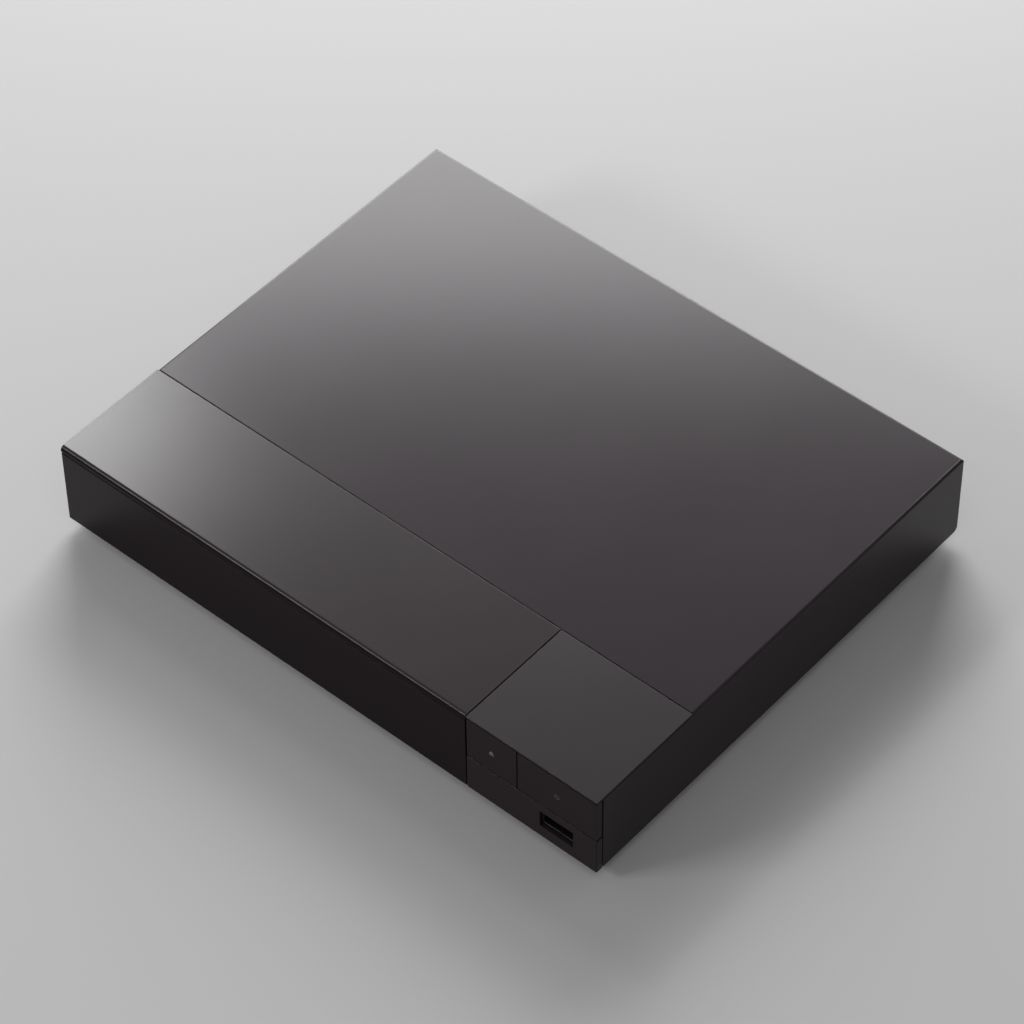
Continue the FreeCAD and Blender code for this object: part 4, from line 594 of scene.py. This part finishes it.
caseParts = {
    "top_cover": dict(name="coverSheet", material=coverPaint, width=0.12, clamp=False),
    "front_panel": dict(name="deckTop", material=deckGloss, width=0.12, clamp=False),
    "control_cover": dict(name="blockTop", material=blockGloss, width=0.1, crowd=5, clamp=False),
    "tray_door": dict(name="doorFace", material=shadedFrontGloss, width=0.12, clamp=False),
    "rear_panel": dict(name="rearPlate", material=rearPaint, width=0.1),
    "bottom_chassis": dict(name="basePan", material=platedSteel, width=0.12),
    "feet": dict(name="rubberFeet", material=rubberBlack, width=0.9, segments=4),
}
case = {node: softEdges(node, **look) for node, look in caseParts.items()}


def faceValues(piece, kind):
    values = np.empty(len(piece.data.polygons) * 3)
    piece.data.polygons.foreach_get(kind, values)
    return values.reshape(-1, 3)


def paintFaces(piece, material, chosen):
    piece.data.materials.append(material)
    piece.data.polygons.foreach_set("material_index", chosen.astype(np.int32))


def paintByFacing(piece, material, axes, least=0.75):
    # a second finish on the faces whose normal lies along one of the axes; on the cover's sides and the deck's fronts
    # it is a darker copy of the first, painted shade
    paintFaces(piece, material, (np.abs(faceValues(piece, "normal")[:, axes]) > least).any(axis=1))


def paintInside(piece, material, low, high):
    # a second finish on the faces whose middle lies in a box in millimetres
    middles = faceValues(piece, "center") / mm
    paintFaces(piece, material, ((middles > low) & (middles < high)).all(axis=1))


# painted shade: the cover's side faces get the darker copy of its paint
paintByFacing(case["top_cover"], shadedSidePaint, [0])
# painted shade: the deck's front and side faces get the darker front copy of its gloss
paintByFacing(case["front_panel"], shadedFrontGloss, [0, 1], 0.6)
paintByFacing(case["control_cover"], blockFront, [0, 1])
print("case pieces made")

keyLook = {
    "eject": dict(x=72.15, z=29.05, light=(0.24, 0.21, 0.23)),
    "power": dict(x=98.8, z=29.05, light=(0.15, 0.11, 0.13)),
    "color": (0.0185, 0.0112, 0.0148),
    "front": -0.0965,
    "edge": 0.12,
}
ejectMark = {"half": 0.9, "lean": 0.9, "triangle": (-0.15, 1.0), "barHalf": 1.0, "bar": (-0.85, -0.45)}
powerMark = {"ring": (0.72, 0.98), "open": 0.38, "strokeHalf": 0.13, "stroke": (0.15, 1.15)}


def startMarkGroup(name):
    # the place on the key in millimetres from the mark's middle: u to the right, v upwards
    group, given, made = startGroup(name, {"Vector": origin, "X": 0.0, "Z": 0.0}, ("Mask",))
    parts = splitVector(group, given["Vector"])
    u, v = (minus(group, times(group, parts[way], 1 / mm), given[way]) for way in "XZ")
    front = below(group, parts["Y"], keyLook["front"])
    return group, made, u, v, front


def finishMark(group, made, first, second, front):
    both = larger(group, first, second)
    feed(group, made, {"Mask": times(group, both, front)})
    return group


def makeEjectMark():
    # a triangle, whose half width shrinks with height, over a bar
    look = ejectMark
    group, made, u, v, front = startMarkGroup("ejectMark")
    out = absolute(group, u)
    half = minus(group, look["half"], times(group, v, look["lean"]))
    triangle = times(group, below(group, out, half), between(group, v, *look["triangle"]))
    bar = times(group, below(group, out, look["barHalf"]), between(group, v, *look["bar"]))
    return finishMark(group, made, triangle, bar, front)


def makePowerMark():
    # a ring open at its top, with an upright stroke in the opening
    look = powerMark
    group, made, u, v, front = startMarkGroup("powerMark")
    out = absolute(group, u)
    square = plus(group, times(group, u, u), times(group, v, v))
    ring = between(group, root(group, square), *look["ring"])
    closed = larger(group, above(group, out, look["open"]), below(group, v, 0.0))
    stroke = times(group, below(group, out, look["strokeHalf"]), between(group, v, *look["stroke"]))
    return finishMark(group, made, times(group, ring, closed), stroke, front)


for key, group in (("eject", makeEjectMark()), ("power", makePowerMark())):
    look = keyLook[key]
    material = moulded(key + "Gloss", keyLook["color"], 0.3, specular=0.12, vary=0.08, **gloss)
    overpaint(material, look["light"], lambda tree, place: useGroup(
        tree, group, Vector=place, X=look["x"], Z=look["z"])["Mask"])
    softEdges(key + "_button", key + "Key", material, keyLook["edge"], clamp=False)
print("keys made")

screwLook = {
    "height": 1.5, "shank": 1.4, "tip": 0.3, "rim": 0.06, "domeRim": 0.35, "crossHalf": 0.34, "crossReach": 1.4,
    "crossDepth": 0.65, "rings": 20, "steps": 48,
}
screwSets = {
    "cover_screws": dict(name="coverScrews", height=0.65, head=1.95),
    "board_screws": dict(name="boardScrews", height=1.35, head=2.25),
    "loader_screws": dict(name="loaderScrews", height=1.35, head=2.25),
    "bridge_screws": dict(name="bridgeScrews", height=1.35, head=2.25),
}


def crossScrew(low, high, head, height, turn):
    # polar grid: the head's height is h(0.35 + 0.65 sqrt(1 - t^4)) over the share t of its radius, less a cross
    # of two slots that fade towards their ends; then the rim, the underside, the shank and its closed tip
    look = screwLook
    shank, tip, rim, foot = look["shank"], look["tip"], look["rim"], look["domeRim"]
    axis = "Y" if high[1] - low[1] > high[2] - low[2] + 0.5 else "Z"
    way = "XYZ".index(axis)
    seat = high[way] - look["height"]
    length = seat - low[way]
    middle = (low + high) / 2
    middle[way] = seat
    share = np.linspace(0, 1, look["rings"])[:, None]
    angle = np.linspace(0, 2 * np.pi, look["steps"], endpoint=False)[None, :]
    across, along = head * share * np.cos(angle), head * share * np.sin(angle)
    dome = height * (foot + (1 - foot) * np.sqrt(1 - share**4)) + 0 * angle
    slots = []
    for a, b in ((across, along), (along, across)):
        wall = np.clip(1 - (np.abs(a) / look["crossHalf"]) ** 6, 0, 1)
        slots.append(wall * np.clip(1 - (np.abs(b) / look["crossReach"]) ** 2, 0, 1) ** 0.6)
    top = np.stack([across, along, dome - height * look["crossDepth"] * np.maximum(*slots)], axis=-1)
    side = [(head, rim), (head - rim, 0.0), (shank, 0.0), (shank, -length + tip), (shank - tip, -length)]
    side.append((0.0, -length))
    grid = np.concatenate([top, aroundAxis(side, origin, steps=look["steps"])])
    c, s = math.cos(turn), math.sin(turn)
    x, y, z = grid[..., 0] * c - grid[..., 1] * s, grid[..., 0] * s + grid[..., 1] * c, grid[..., 2]
    return np.stack((x, y, z) if axis == "Z" else (y, z, x), axis=-1) + middle


for node, look in screwSets.items():
    boxes = islandBoxes(node)
    turns = np.linspace(0.2, 1.3, len(boxes))
    grids = [crossScrew(*box, look["head"], look["height"], turn) for box, turn in zip(boxes, turns)]
    standIn(node, look["name"], (screwBlack, grids))
print("screws made")

softPieces = {
    "disc_tray": dict(name="trayDrawer", width=0.35),
    "loader_base": dict(name="loaderTub", width=0.2, segments=2),
    "traverse_frame": dict(name="tiltFrame", width=0.2, segments=2),
    "cam_slider": dict(name="camBar", width=0.2, segments=2),
    "clamp_bridge": dict(name="clampArch", width=0.12, segments=2),
    "clamper": dict(name="clampDisc", width=0.25),
    "spindle_rotor": dict(name="rotorCan", width=0.4),
    "spindle_motor": dict(name="motorPlate", width=0.15, segments=2),
    "turntable": dict(name="discSeat", width=0.2),
    "drive_gear": dict(name="trayWheel", width=0.1, segments=2),
    "pulley_gear": dict(name="beltWheel", width=0.1, segments=2),
    "motor_pulley": dict(name="motorWheel", width=0.15, segments=2),
    "loading_motor": dict(name="trayMotor", width=0.6),
    "sled_motor": dict(name="sledMotor", width=0.5),
    "guide_shafts": dict(name="guideRods", width=0.3),
    "drive_belt": dict(name="driveBelt", width=0.35),
    "pickup_sled": dict(name="pickupBody", width=0.35),
    "eject_switch": dict(name="ejectSwitch", width=0.15, segments=2),
    "power_switch": dict(name="powerSwitch", width=0.15, segments=2),
    "main_board": dict(name="mainBoard", width=0.05, segments=1),
    "front_board": dict(name="keyBoard", width=0.05, segments=1, material=frontBoardGreen),
    "heat_sink": dict(name="finnedSink", width=0.15, segments=2),
    "usb_socket": dict(name="usbShell", width=0.1, segments=2, material=portSteel),
    "hdmi_socket": dict(name="hdmiShell", width=0.1, segments=2),
    "lan_jack": dict(name="lanShell", width=0.2),
    "dc_jack": dict(name="inletBlock", width=0.3),
    "coax_sleeve": dict(name="coaxShell", width=0.12),
    "coax_core": dict(name="coaxCore", width=0.15),
}
soft = {}
for node, look in softPieces.items():
    material = look.get("material", slotMaterial[nodeSlot[node]])
    soft[node] = softEdges(node, look["name"], material, look["width"], look.get("segments", 3))
mouths = {
    "lan_jack": ((48.0, 75.0, 11.0), (61.0, 89.3, 21.5)),
    "hdmi_socket": ((68.0, 80.0, 11.4), (79.0, 88.5, 12.5)),
}
for node, corners in mouths.items():
    paintInside(soft[node], jackBlack, *corners)
print("mechanism and sockets made")

chipLook = {
    "processor_chip": dict(ways=(0, 1), pitch=0.7, reach=1.4, width=0.3, top=1.0, lift=0.2, corner=0.8, edge=0.12),
    "memory_chips": dict(ways=(0,), pitch=0.8, reach=0.8, width=0.32, top=0.6, lift=0.12, corner=0.35, edge=0.1),
}
leadLook = {"thick": 0.12, "inside": 0.2, "bends": (0.2, 0.35, 0.5, 0.65), "fall": 0.1, "rise": 0.12}


def legsAlong(low, high, way, look):
    # gull-wing leads on two facing sides of a body: out, down in a short S, and out again along the board
    middle, half = (low + high)[:2] / 2, (high - low)[:2] / 2
    thick, reach, pitch, top = leadLook["thick"], look["reach"], look["pitch"], low[2] + look["top"]
    foot = low[2] + thick / 2
    start = half[way] - reach
    bends = [start + share * reach for share in leadLook["bends"]]
    levels = [top, top - leadLook["fall"], foot + leadLook["rise"], foot]
    path = [(start - leadLook["inside"], top), *zip(bends, levels), (half[way], foot)]
    lead = stripAlong([(x, 0, z) for x, z in path], look["width"], thick, (0, 1, 0))
    room = half[1 - way] - reach - pitch
    count = int(room * 2 / pitch) + 1
    grids = []
    for side in (1, -1):
        for spot in (np.arange(count) - (count - 1) / 2) * pitch:
            x, y = lead[..., 0] * side, lead[..., 1] + spot
            flat = (x, y) if way == 0 else (y, x)
            grids.append(np.stack([flat[0] + middle[0], flat[1] + middle[1], lead[..., 2]], axis=-1))
    return grids


def makeChips(node, name, boxes):
    # bodies drawn in from the ends of their leads and raised off the board, and the leads
    look = chipLook[node]
    inset = np.array([look["reach"] if way in look["ways"] else 0.0 for way in range(3)])
    bodies, legs = [], []
    for low, high in boxes:
        bodies.append(roundSlab(low + inset + (0, 0, look["lift"]), high - inset, look["corner"], look["edge"]))
        legs += [grid for way in look["ways"] for grid in legsAlong(low, high, way, look)]
    standIn(node, name, (chipBlack, bodies), (shellSteel, legs))


makeChips("processor_chip", "processorChip", [nodeCorners("processor_chip")])
makeChips("memory_chips", "memoryChips", islandBoxes("memory_chips"))

coilLook = {
    "corner": 1.4, "edge": 0.3,
    "well": [(3.0, 0.0), (2.95, -0.7), (2.1, -0.7), (2.05, -0.1), (1.9, 0.0)],
    "turns": (2.28, 2.52, 2.76), "wire": 0.13, "sunk": 0.3,
}
bodies, windings = [], []
for low, high in islandBoxes("power_coils"):
    top = high[2]
    bodies.append(roundSlab(low, high, coilLook["corner"], coilLook["edge"], top=shifted(coilLook["well"], 0, top)))
    middle = (low + high) / 2
    turn = np.linspace(0, 2 * np.pi, 10)
    wire = np.stack([np.cos(turn), np.sin(turn)], axis=1) * coilLook["wire"]
    for radius in coilLook["turns"]:
        ring = wire + (radius, top - coilLook["sunk"])
        windings.append(aroundAxis(ring, (middle[0], middle[1], 0), "Z", 32))
standIn("power_coils", "powerCoils", (chipBlack, bodies), (copperWire, windings))


def makeCan(low, high, look):
    # the sleeve turned round its axis; the lid's height falls by the score, exp(-(n / width)^2) of the nearness n
    # to a cross through its middle, and by the eighth power of the share of its radius
    middle, wide, base, top = (low + high) / 2, (high - low)[0] / 2, low[2], high[2]
    middle[2] = 0
    side = shifted(look["foot"], wide, base) + shifted(look["shoulder"], wide, top)
    sleeve = aroundAxis([(0, base), *side, (0, side[-1][1])], middle)
    lidRadius = wide - look["lidInset"]
    share = np.linspace(0, 1, look["rings"])[:, None]
    angle = np.linspace(0, 2 * np.pi, look["steps"], endpoint=False)[None, :]
    across, along = lidRadius * share * np.cos(angle), lidRadius * share * np.sin(angle)
    near = np.minimum(np.abs(across), np.abs(along)) / look["scoreWidth"]
    score = np.exp(-(near**2)) * (share < look["scoreShare"])
    level = top - look["lidSunk"] - look["scoreDepth"] * score - look["dish"] * share**8
    under = [(lidRadius, top - look["lidUnder"]), (0, top - look["lidUnder"])]
    lid = np.stack([across, along, level], axis=-1) + middle
    return sleeve, np.concatenate([lid, aroundAxis(under, middle, "Z", look["steps"])])


sleeves, lids = zip(*(makeCan(low, high, canLook) for low, high in islandBoxes("capacitors")))
standIn("capacitors", "smoothingCans", (canSleeve, sleeves), (canMetal, lids))
print("board parts made")

cableLook = {
    "thick": 0.3,
    "rise": [(-0.15, 18.0), (-0.15, 24.0), (-0.5, 27.3)],
    "over": [(-74.2, 29.2), (-78.2, 29.7), (-82.0, 29.2)],
    "fall": [(0.6, 27.4), (0.15, 25.8), (0.15, 24.4)],
    "flat": (24.0, 38.0),
    "lift": [(41.5, 8.6), (44.2, 9.5), (45.6, 9.93)],
    "end": 9.95,
}


def bentCable(node, name, material, points, way):
    # millimetre points of a bent flat cable in the plane across one axis, at the middle of its width
    low, high = nodeCorners(node)
    path = np.empty((len(points), 3))
    path[:, way] = (low[way] + high[way]) / 2
    path[:, [k for k in range(3) if k != way]] = points
    side = np.eye(3)[way]
    line = stripAlong(smoothPath(path), high[way] - low[way], cableLook["thick"], side)
    standIn(node, name, (material, [line]))


half = cableLook["thick"] / 2
low, high = nodeCorners("front_cable")
run = [(high[1] - half, low[2]), *shifted(cableLook["rise"], high[1], 0), *cableLook["over"]]
bentCable("front_cable", "frontRibbon", frontRibbon, run + shifted(cableLook["fall"], low[1], 0), 0)
low, high = nodeCorners("pickup_cable")
run = [(x, low[2] + half) for x in (low[0], *cableLook["flat"])] + cableLook["lift"]
bentCable("pickup_cable", "pickupRibbon", pickupRibbon, run + [(high[0], cableLook["end"])], 1)

socketLook = {
    "split": 1.5, "overlap": 0.05, "inset": (0.6, 0.15),
    "body": dict(corner=0.25, edge=0.12),
    "flap": dict(corner=0.3, edge=0.2),
}
bodies, flaps = [], []
for low, high in islandBoxes("cable_sockets"):
    split = low[2] + socketLook["split"]
    bodies.append(roundSlab(low, (high[0], high[1], split), **socketLook["body"]))
    ends, sides = socketLook["inset"]
    inset = (ends, sides, 0) if high[0] - low[0] > high[1] - low[1] else (sides, ends, 0)
    flapLow = np.array([low[0], low[1], split - socketLook["overlap"]]) + inset
    flaps.append(roundSlab(flapLow, high - inset, **socketLook["flap"]))
standIn("cable_sockets", "cableSockets", (socketCream, bodies), (chipBlack, flaps))
print("flat cables made")

usbLook = {
    "tongue": dict(corner=0.5, edge=0.2), "pads": (-3.5, -1.0, 1.0, 3.5), "padLow": (-0.5, 0.8, -0.06),
    "padHigh": (0.5, -0.2, 0.1), "pad": dict(corner=0.2, edge=0.05), "springs": (-3.3, 3.3),
    "levels": ((15.25, -0.55), (10.15, 0.55)),
    "bow": [(2.4, 0.1), (3.2, 0.4), (4.4, 0.7), (6.0, 0.6), (9.0, 0.1)],
    "width": 1.7, "thick": 0.15,
}
low, high = nodeCorners("usb_tongue")
tongue = roundSlab(low, high, axis="Y", **usbLook["tongue"])
middle = (low[0] + high[0]) / 2
pads = []
for x in usbLook["pads"]:
    padLow = np.array([middle + x, low[1], low[2]]) + usbLook["padLow"]
    padHigh = np.array([middle + x, high[1], low[2]]) + usbLook["padHigh"]
    pads.append(roundSlab(padLow, padHigh, **usbLook["pad"]))
standIn("usb_tongue", "usbTongue", (jackBlack, [tongue]), (goldPlate, pads))

low, high = nodeCorners("usb_socket")
middle = (low[0] + high[0]) / 2
springs = []
for level, bow in usbLook["levels"]:
    for x in usbLook["springs"]:
        path = smoothPath([(middle + x, low[1] + y, level + bow * rise) for y, rise in usbLook["bow"]], 4)
        springs.append(stripAlong(path, usbLook["width"], usbLook["thick"]))
makeSurfaces("usbSprings", "case", "socket_steel", (portSteel, springs))

lanLook = {
    "rise": [(77.2, 14.2), (78.0, 15.0), (79.2, 15.1), (84.0, 13.0), (86.8, 11.7), (88.2, 11.45)],
    "count": 8, "pitch": 1.02, "width": 0.36, "thick": 0.2,
}
low, high = nodeCorners("lan_jack")
rise = smoothPath(lanLook["rise"], 4)
wires = []
for spot in np.arange(lanLook["count"]) - (lanLook["count"] - 1) / 2:
    x = (low[0] + high[0]) / 2 + spot * lanLook["pitch"]
    wires.append(stripAlong(np.insert(rise, 0, x, axis=1), lanLook["width"], lanLook["thick"]))
makeSurfaces("lanContacts", "case", "sleeve_metal", (goldPlate, wires))

hdmiLook = {
    "level": 11.95, "rows": ((10, 0.52), (9, -0.52)), "low": (-0.16, 80.5, -0.08), "high": (0.16, 87.5, 0.08),
    "strip": dict(corner=0.08, edge=0.04, steps=2, rim=1),
}
low, high = nodeCorners("hdmi_socket")
strips = []
for count, lift in hdmiLook["rows"]:
    for x in np.arange(count) - (count - 1) / 2:
        spot = np.array([(low[0] + high[0]) / 2 + x, 0, hdmiLook["level"] + lift])
        strips.append(roundSlab(spot + hdmiLook["low"], spot + hdmiLook["high"], **hdmiLook["strip"]))
makeSurfaces("hdmiContacts", "case", "sleeve_metal", (goldPlate, strips))


def middleOf(node, axis):
    # the middle of a node's box, left at nothing along one axis
    middle = sum(nodeCorners(node)) / 2
    middle["XYZ".index(axis)] = 0
    return middle


def arc(radius, steps):
    # a quarter circle from (radius, 0) to (0, radius)
    angle = np.radians(np.linspace(0, 90, steps))
    return [(radius * math.cos(a), radius * math.sin(a)) for a in angle]


contactTube = [(1.1, 89.5), (1.5, 89.5), (1.55, 89.7), (1.55, 95.4)]
contactTube += [(1.45, 95.7), (1.25, 95.75), (1.1, 95.5), (1.1, 89.5)]
tube = aroundAxis(contactTube, middleOf("coax_core", "Y"), "Y", 40)
makeSurfaces("coaxContact", "case", "sleeve_metal", (goldPlate, [tube]))

low, high = nodeCorners("dc_pin")
wide = (high - low)[0] / 2
pin = [(0, low[1]), (wide, low[1]), *shifted(arc(wide, 7), 0, high[1] - wide)]
standIn("dc_pin", "inletPin", (goldPlate, [aroundAxis(pin, middleOf("dc_pin", "Y"), "Y", 32)]))
standIn("coax_jack", "coaxBlock", (jackBlack, [roundSlab(*nodeCorners("coax_jack"), corner=0.9, edge=0.35)]))
print("sockets detailed")

eyeLook = {
    "back": dict(corner=0.6, edge=0.25), "backDepth": 1.3, "radius": 2.5, "bulge": 2.0, "rim": 1.2, "floor": 0.9,
}
low, high = nodeCorners("remote_receiver")
back = roundSlab((low[0], high[1] - eyeLook["backDepth"], low[2]), high, axis="Y", **eyeLook["back"])
rim, floor = high[1] - eyeLook["rim"], high[1] - eyeLook["floor"]
eye = [(eyeLook["radius"] * x, rim - eyeLook["bulge"] * y) for x, y in arc(1, 9)[::-1]]
eye += [(eyeLook["radius"], floor), (0, floor)]
eyeGrid = aroundAxis(eye, middleOf("remote_receiver", "Y"), "Y", 40)
standIn("remote_receiver", "remoteEye", (chipBlack, [back]), (eyeDark, [eyeGrid]))

bulbLook = {"radius": 0.95, "rim": [(0.95, -0.8), (1.2, -0.75), (1.2, 0.0), (0.0, 0.0)]}
low, high = nodeCorners("power_lamp")
bulb = [(x, low[1] + bulbLook["radius"] - y) for x, y in arc(bulbLook["radius"], 9)[::-1]]
bulb += shifted(bulbLook["rim"], 0, high[1])
standIn("power_lamp", "powerBulb", (lampLens, [aroundAxis(bulb, middleOf("power_lamp", "Y"), "Y", 36)]))

for key in ("eject", "power"):
    stem = roundSlab(*nodeCorners(key + "_plunger"), corner=0.5, edge=0.2, axis="Y")
    standIn(key + "_plunger", key + "Plunger", (greyPlastic, [stem]))
magnet = roundSlab(*nodeCorners("clamp_magnet"), corner=1.2, edge=0.3)
standIn("clamp_magnet", "clampMagnet", (motorSteel, [magnet]))

holderLook = {
    "side": 0.8, "corner": 1.6, "edge": 0.3,
    "seat": [(2.9, 0.0), (2.8, -0.4), (2.4, -0.4), (2.3, 0.0)],
    "coilWide": 0.85, "coilInset": 2.0, "turns": np.arange(0.5, 2.1, 0.25), "turnHeight": 0.24,
    "turn": dict(corner=0.4, edge=0.1),
}
low, high = nodeCorners("lens_holder")
look = holderLook
inset = np.array([look["side"], 0, 0])
seat = shifted(look["seat"], 0, high[2])
body = roundSlab(low + inset, high - inset, look["corner"], look["edge"], top=seat)
windings = []
for x in (low[0], high[0] - look["coilWide"]):
    for level in low[2] + look["turns"]:
        turnLow = (x, low[1] + look["coilInset"], level)
        turnHigh = (x + look["coilWide"], high[1] - look["coilInset"], level + look["turnHeight"])
        windings.append(roundSlab(turnLow, turnHigh, **look["turn"]))
standIn("lens_holder", "lensCarrier", (chipBlack, [body]), (copperWire, windings))

# the lens's top falls with the square of the share of its radius
lensLook = {"clear": 0.82, "sag": 0.55, "rim": [(0.86, 0.3), (1.0, 0.25), (1.0, 0.0), (0.0, 0.0)]}
low, high = nodeCorners("objective_lens")
wide = (high - low)[0] / 2
lens = [(wide * lensLook["clear"] * s, high[2] - lensLook["sag"] * s**2) for s in np.linspace(0, 1, 10)]
lens += [(wide * share, low[2] + rise) for share, rise in lensLook["rim"]]
standIn("objective_lens", "readLens", (lensBlue, [aroundAxis(lens, middleOf("objective_lens", "Z"))]))

matProfile = [(10.3, -0.05), (10.3, 0.1), (10.5, 0.18), (12.2, 0.18), (12.4, 0.1), (12.4, -0.05), (10.3, -0.05)]
matLevel = nodeCorners("turntable")[1][2] - 1.0
mat = aroundAxis(shifted(matProfile, 0, matLevel), middleOf("turntable", "Z"), "Z", 96)
makeSurfaces("discMat", "spindle", "turntable_plastic", (rubberBlack, [mat]))

screwThread = {"pitch": 2.0, "depth": 0.28, "plain": 2.0, "fade": 0.6, "perTurn": 24, "around": 28}


def threadedRod(low, high, look):
    # radius = r - d |2 frac(y / pitch - angle / 360) - 1| along the rod, and plain r at both ends
    middle, wide = (low + high) / 2, (high - low)[0] / 2
    length = high[1] - low[1]
    along = np.linspace(0, length, int(length / look["pitch"] * look["perTurn"]))[:, None]
    angle = np.linspace(0, 2 * np.pi, look["around"], endpoint=False)[None, :]
    wave = np.abs(2 * ((along / look["pitch"] - angle / (2 * np.pi)) % 1) - 1)
    share = np.clip(np.minimum(along, length - along) - look["plain"], 0, look["fade"]) / look["fade"]
    radius = wide - look["depth"] * wave * share
    radius = np.concatenate([0 * radius[:1], radius, 0 * radius[:1]])
    along = np.concatenate([along[:1], along, along[-1:]])
    grid = [middle[0] + radius * np.sin(angle), low[1] + along + 0 * angle, middle[2] + radius * np.cos(angle)]
    return np.stack(grid, axis=-1)


standIn("lead_screw", "leadThread", (groundSteel, [threadedRod(*nodeCorners("lead_screw"), screwThread)]))
print("drive details made")

# camera, fitted to the eight corners of the case
view = {
    "place": (0.62613, -0.72002, 1.07072),
    "azimuth": 41.14,
    "elevation": 48.10,
    "roll": -0.687,
    "lens": 150.43,
    "sensor": 36.0,
    "clip": (0.01, 50.0),
}


def placeCamera():
    turn, rise = math.radians(view["azimuth"]), math.radians(view["elevation"])
    back = Vector((math.sin(turn) * math.cos(rise), -math.cos(turn) * math.cos(rise), math.sin(rise)))
    right = (-back).cross(Vector((0, 0, 1))).normalized()
    up = back.cross(right)
    tilt = math.radians(view["roll"])
    across = math.cos(tilt) * right + math.sin(tilt) * up
    upward = math.cos(tilt) * up - math.sin(tilt) * right
    data = bpy.data.cameras.new("camera")
    data.lens = view["lens"]
    data.sensor_width = view["sensor"]
    data.clip_start, data.clip_end = view["clip"]
    camera = addObject("camera", data)
    facing = Matrix((across, upward, back)).transposed().to_4x4()
    camera.matrix_world = Matrix.Translation(Vector(view["place"])) @ facing
    bpy.context.scene.camera = camera


placeCamera()

studio = {
    "floorHalf": 6.0,
    "floorColor": (0.6, 0.6, 0.6),
    "floorRough": 0.9,
    "farStart": 0.4,
    "farEnd": 1.4,
    "worldColor": (0.5, 0.5, 0.5),
    "worldStrength": 0.5,
    "key": dict(place=(-0.6815, 0.9251, 0.5893), aim=(0.0285, 0.1401, -0.0207), size=(0.781, 0.773), power=18.0),
    "corner": dict(place=(-0.848, 0.449, 1.009), aim=(-0.138, -0.336, 0.399), size=(0.25, 0.15), power=1.5, turn=38.3),
    "fill": dict(place=(0.5, -0.7, 1.6), aim=(0, 0, 0), size=(1.2, 1.2), power=2.5),
    "edge": dict(place=(-0.62, -1.04, 0.71), aim=(-0.03, -0.02, 0.0), size=(0.4, 0.25), power=4.0),
}


def addLamp(name, place, aim, size, power, turn=0.0):
    data = bpy.data.lights.new(name, "AREA")
    data.shape = "RECTANGLE"
    data.size, data.size_y = size
    data.energy = power
    lamp = addObject(name, data)
    lamp.location = place
    facing = (Vector(aim) - Vector(place)).to_track_quat("-Z", "Y").to_matrix()
    lamp.rotation_euler = (facing @ Matrix.Rotation(math.radians(turn), 3, "Z")).to_euler()


def makeFloor():
    # far from the part the camera sees the floor's plain colour, so that the background stays pale
    work = bmesh.new()
    bmesh.ops.create_grid(work, x_segments=1, y_segments=1, size=studio["floorHalf"])
    mesh = bpy.data.meshes.new("floor")
    work.to_mesh(mesh)
    work.free()
    floor = addObject("floor", mesh)
    material, tree, shader, place = startMaterial("floorPaper", studio["floorColor"], specular=0.1)
    feed(tree, shader.inputs, {"Roughness": studio["floorRough"]})
    reach = addNode(tree, "VectorMath", {0: place}, operation="LENGTH").outputs["Value"]
    ends = {"Value": reach, "From Min": studio["farStart"], "From Max": studio["farEnd"]}
    ramp = addNode(tree, "MapRange", ends, interpolation_type="SMOOTHSTEP").outputs["Result"]
    plain = addNode(tree, "Emission", {"Color": studio["floorColor"]}).outputs["Emission"]
    share = times(tree, ramp, addNode(tree, "LightPath", {}).outputs["Is Camera Ray"])
    mix = addNode(tree, "MixShader", {"Fac": share, 1: shader.outputs["BSDF"], 2: plain})
    tree.links.new(mix.outputs["Shader"], tree.nodes["Material Output"].inputs["Surface"])
    mesh.materials.append(material)


def makeWorld():
    # the camera sees the far floor's colour above the horizon too; only the other rays see the softer light
    world = bpy.data.worlds.new("studio")
    world.use_nodes = True
    sky = world.node_tree
    light = sky.nodes["Background"]
    feed(sky, light.inputs, {"Color": studio["worldColor"], "Strength": studio["worldStrength"]})
    seen = addNode(sky, "Background", {"Color": studio["floorColor"]})
    ray = addNode(sky, "LightPath", {}).outputs["Is Camera Ray"]
    mix = addNode(sky, "MixShader", {"Fac": ray, 1: light.outputs[0], 2: seen.outputs[0]})
    sky.links.new(mix.outputs["Shader"], sky.nodes["World Output"].inputs["Surface"])
    bpy.context.scene.world = world


makeFloor()
for name in ("key", "corner", "fill", "edge"):
    addLamp(name, **studio[name])
makeWorld()
bpy.context.scene.view_settings.view_transform = "Standard"
print("studio made")
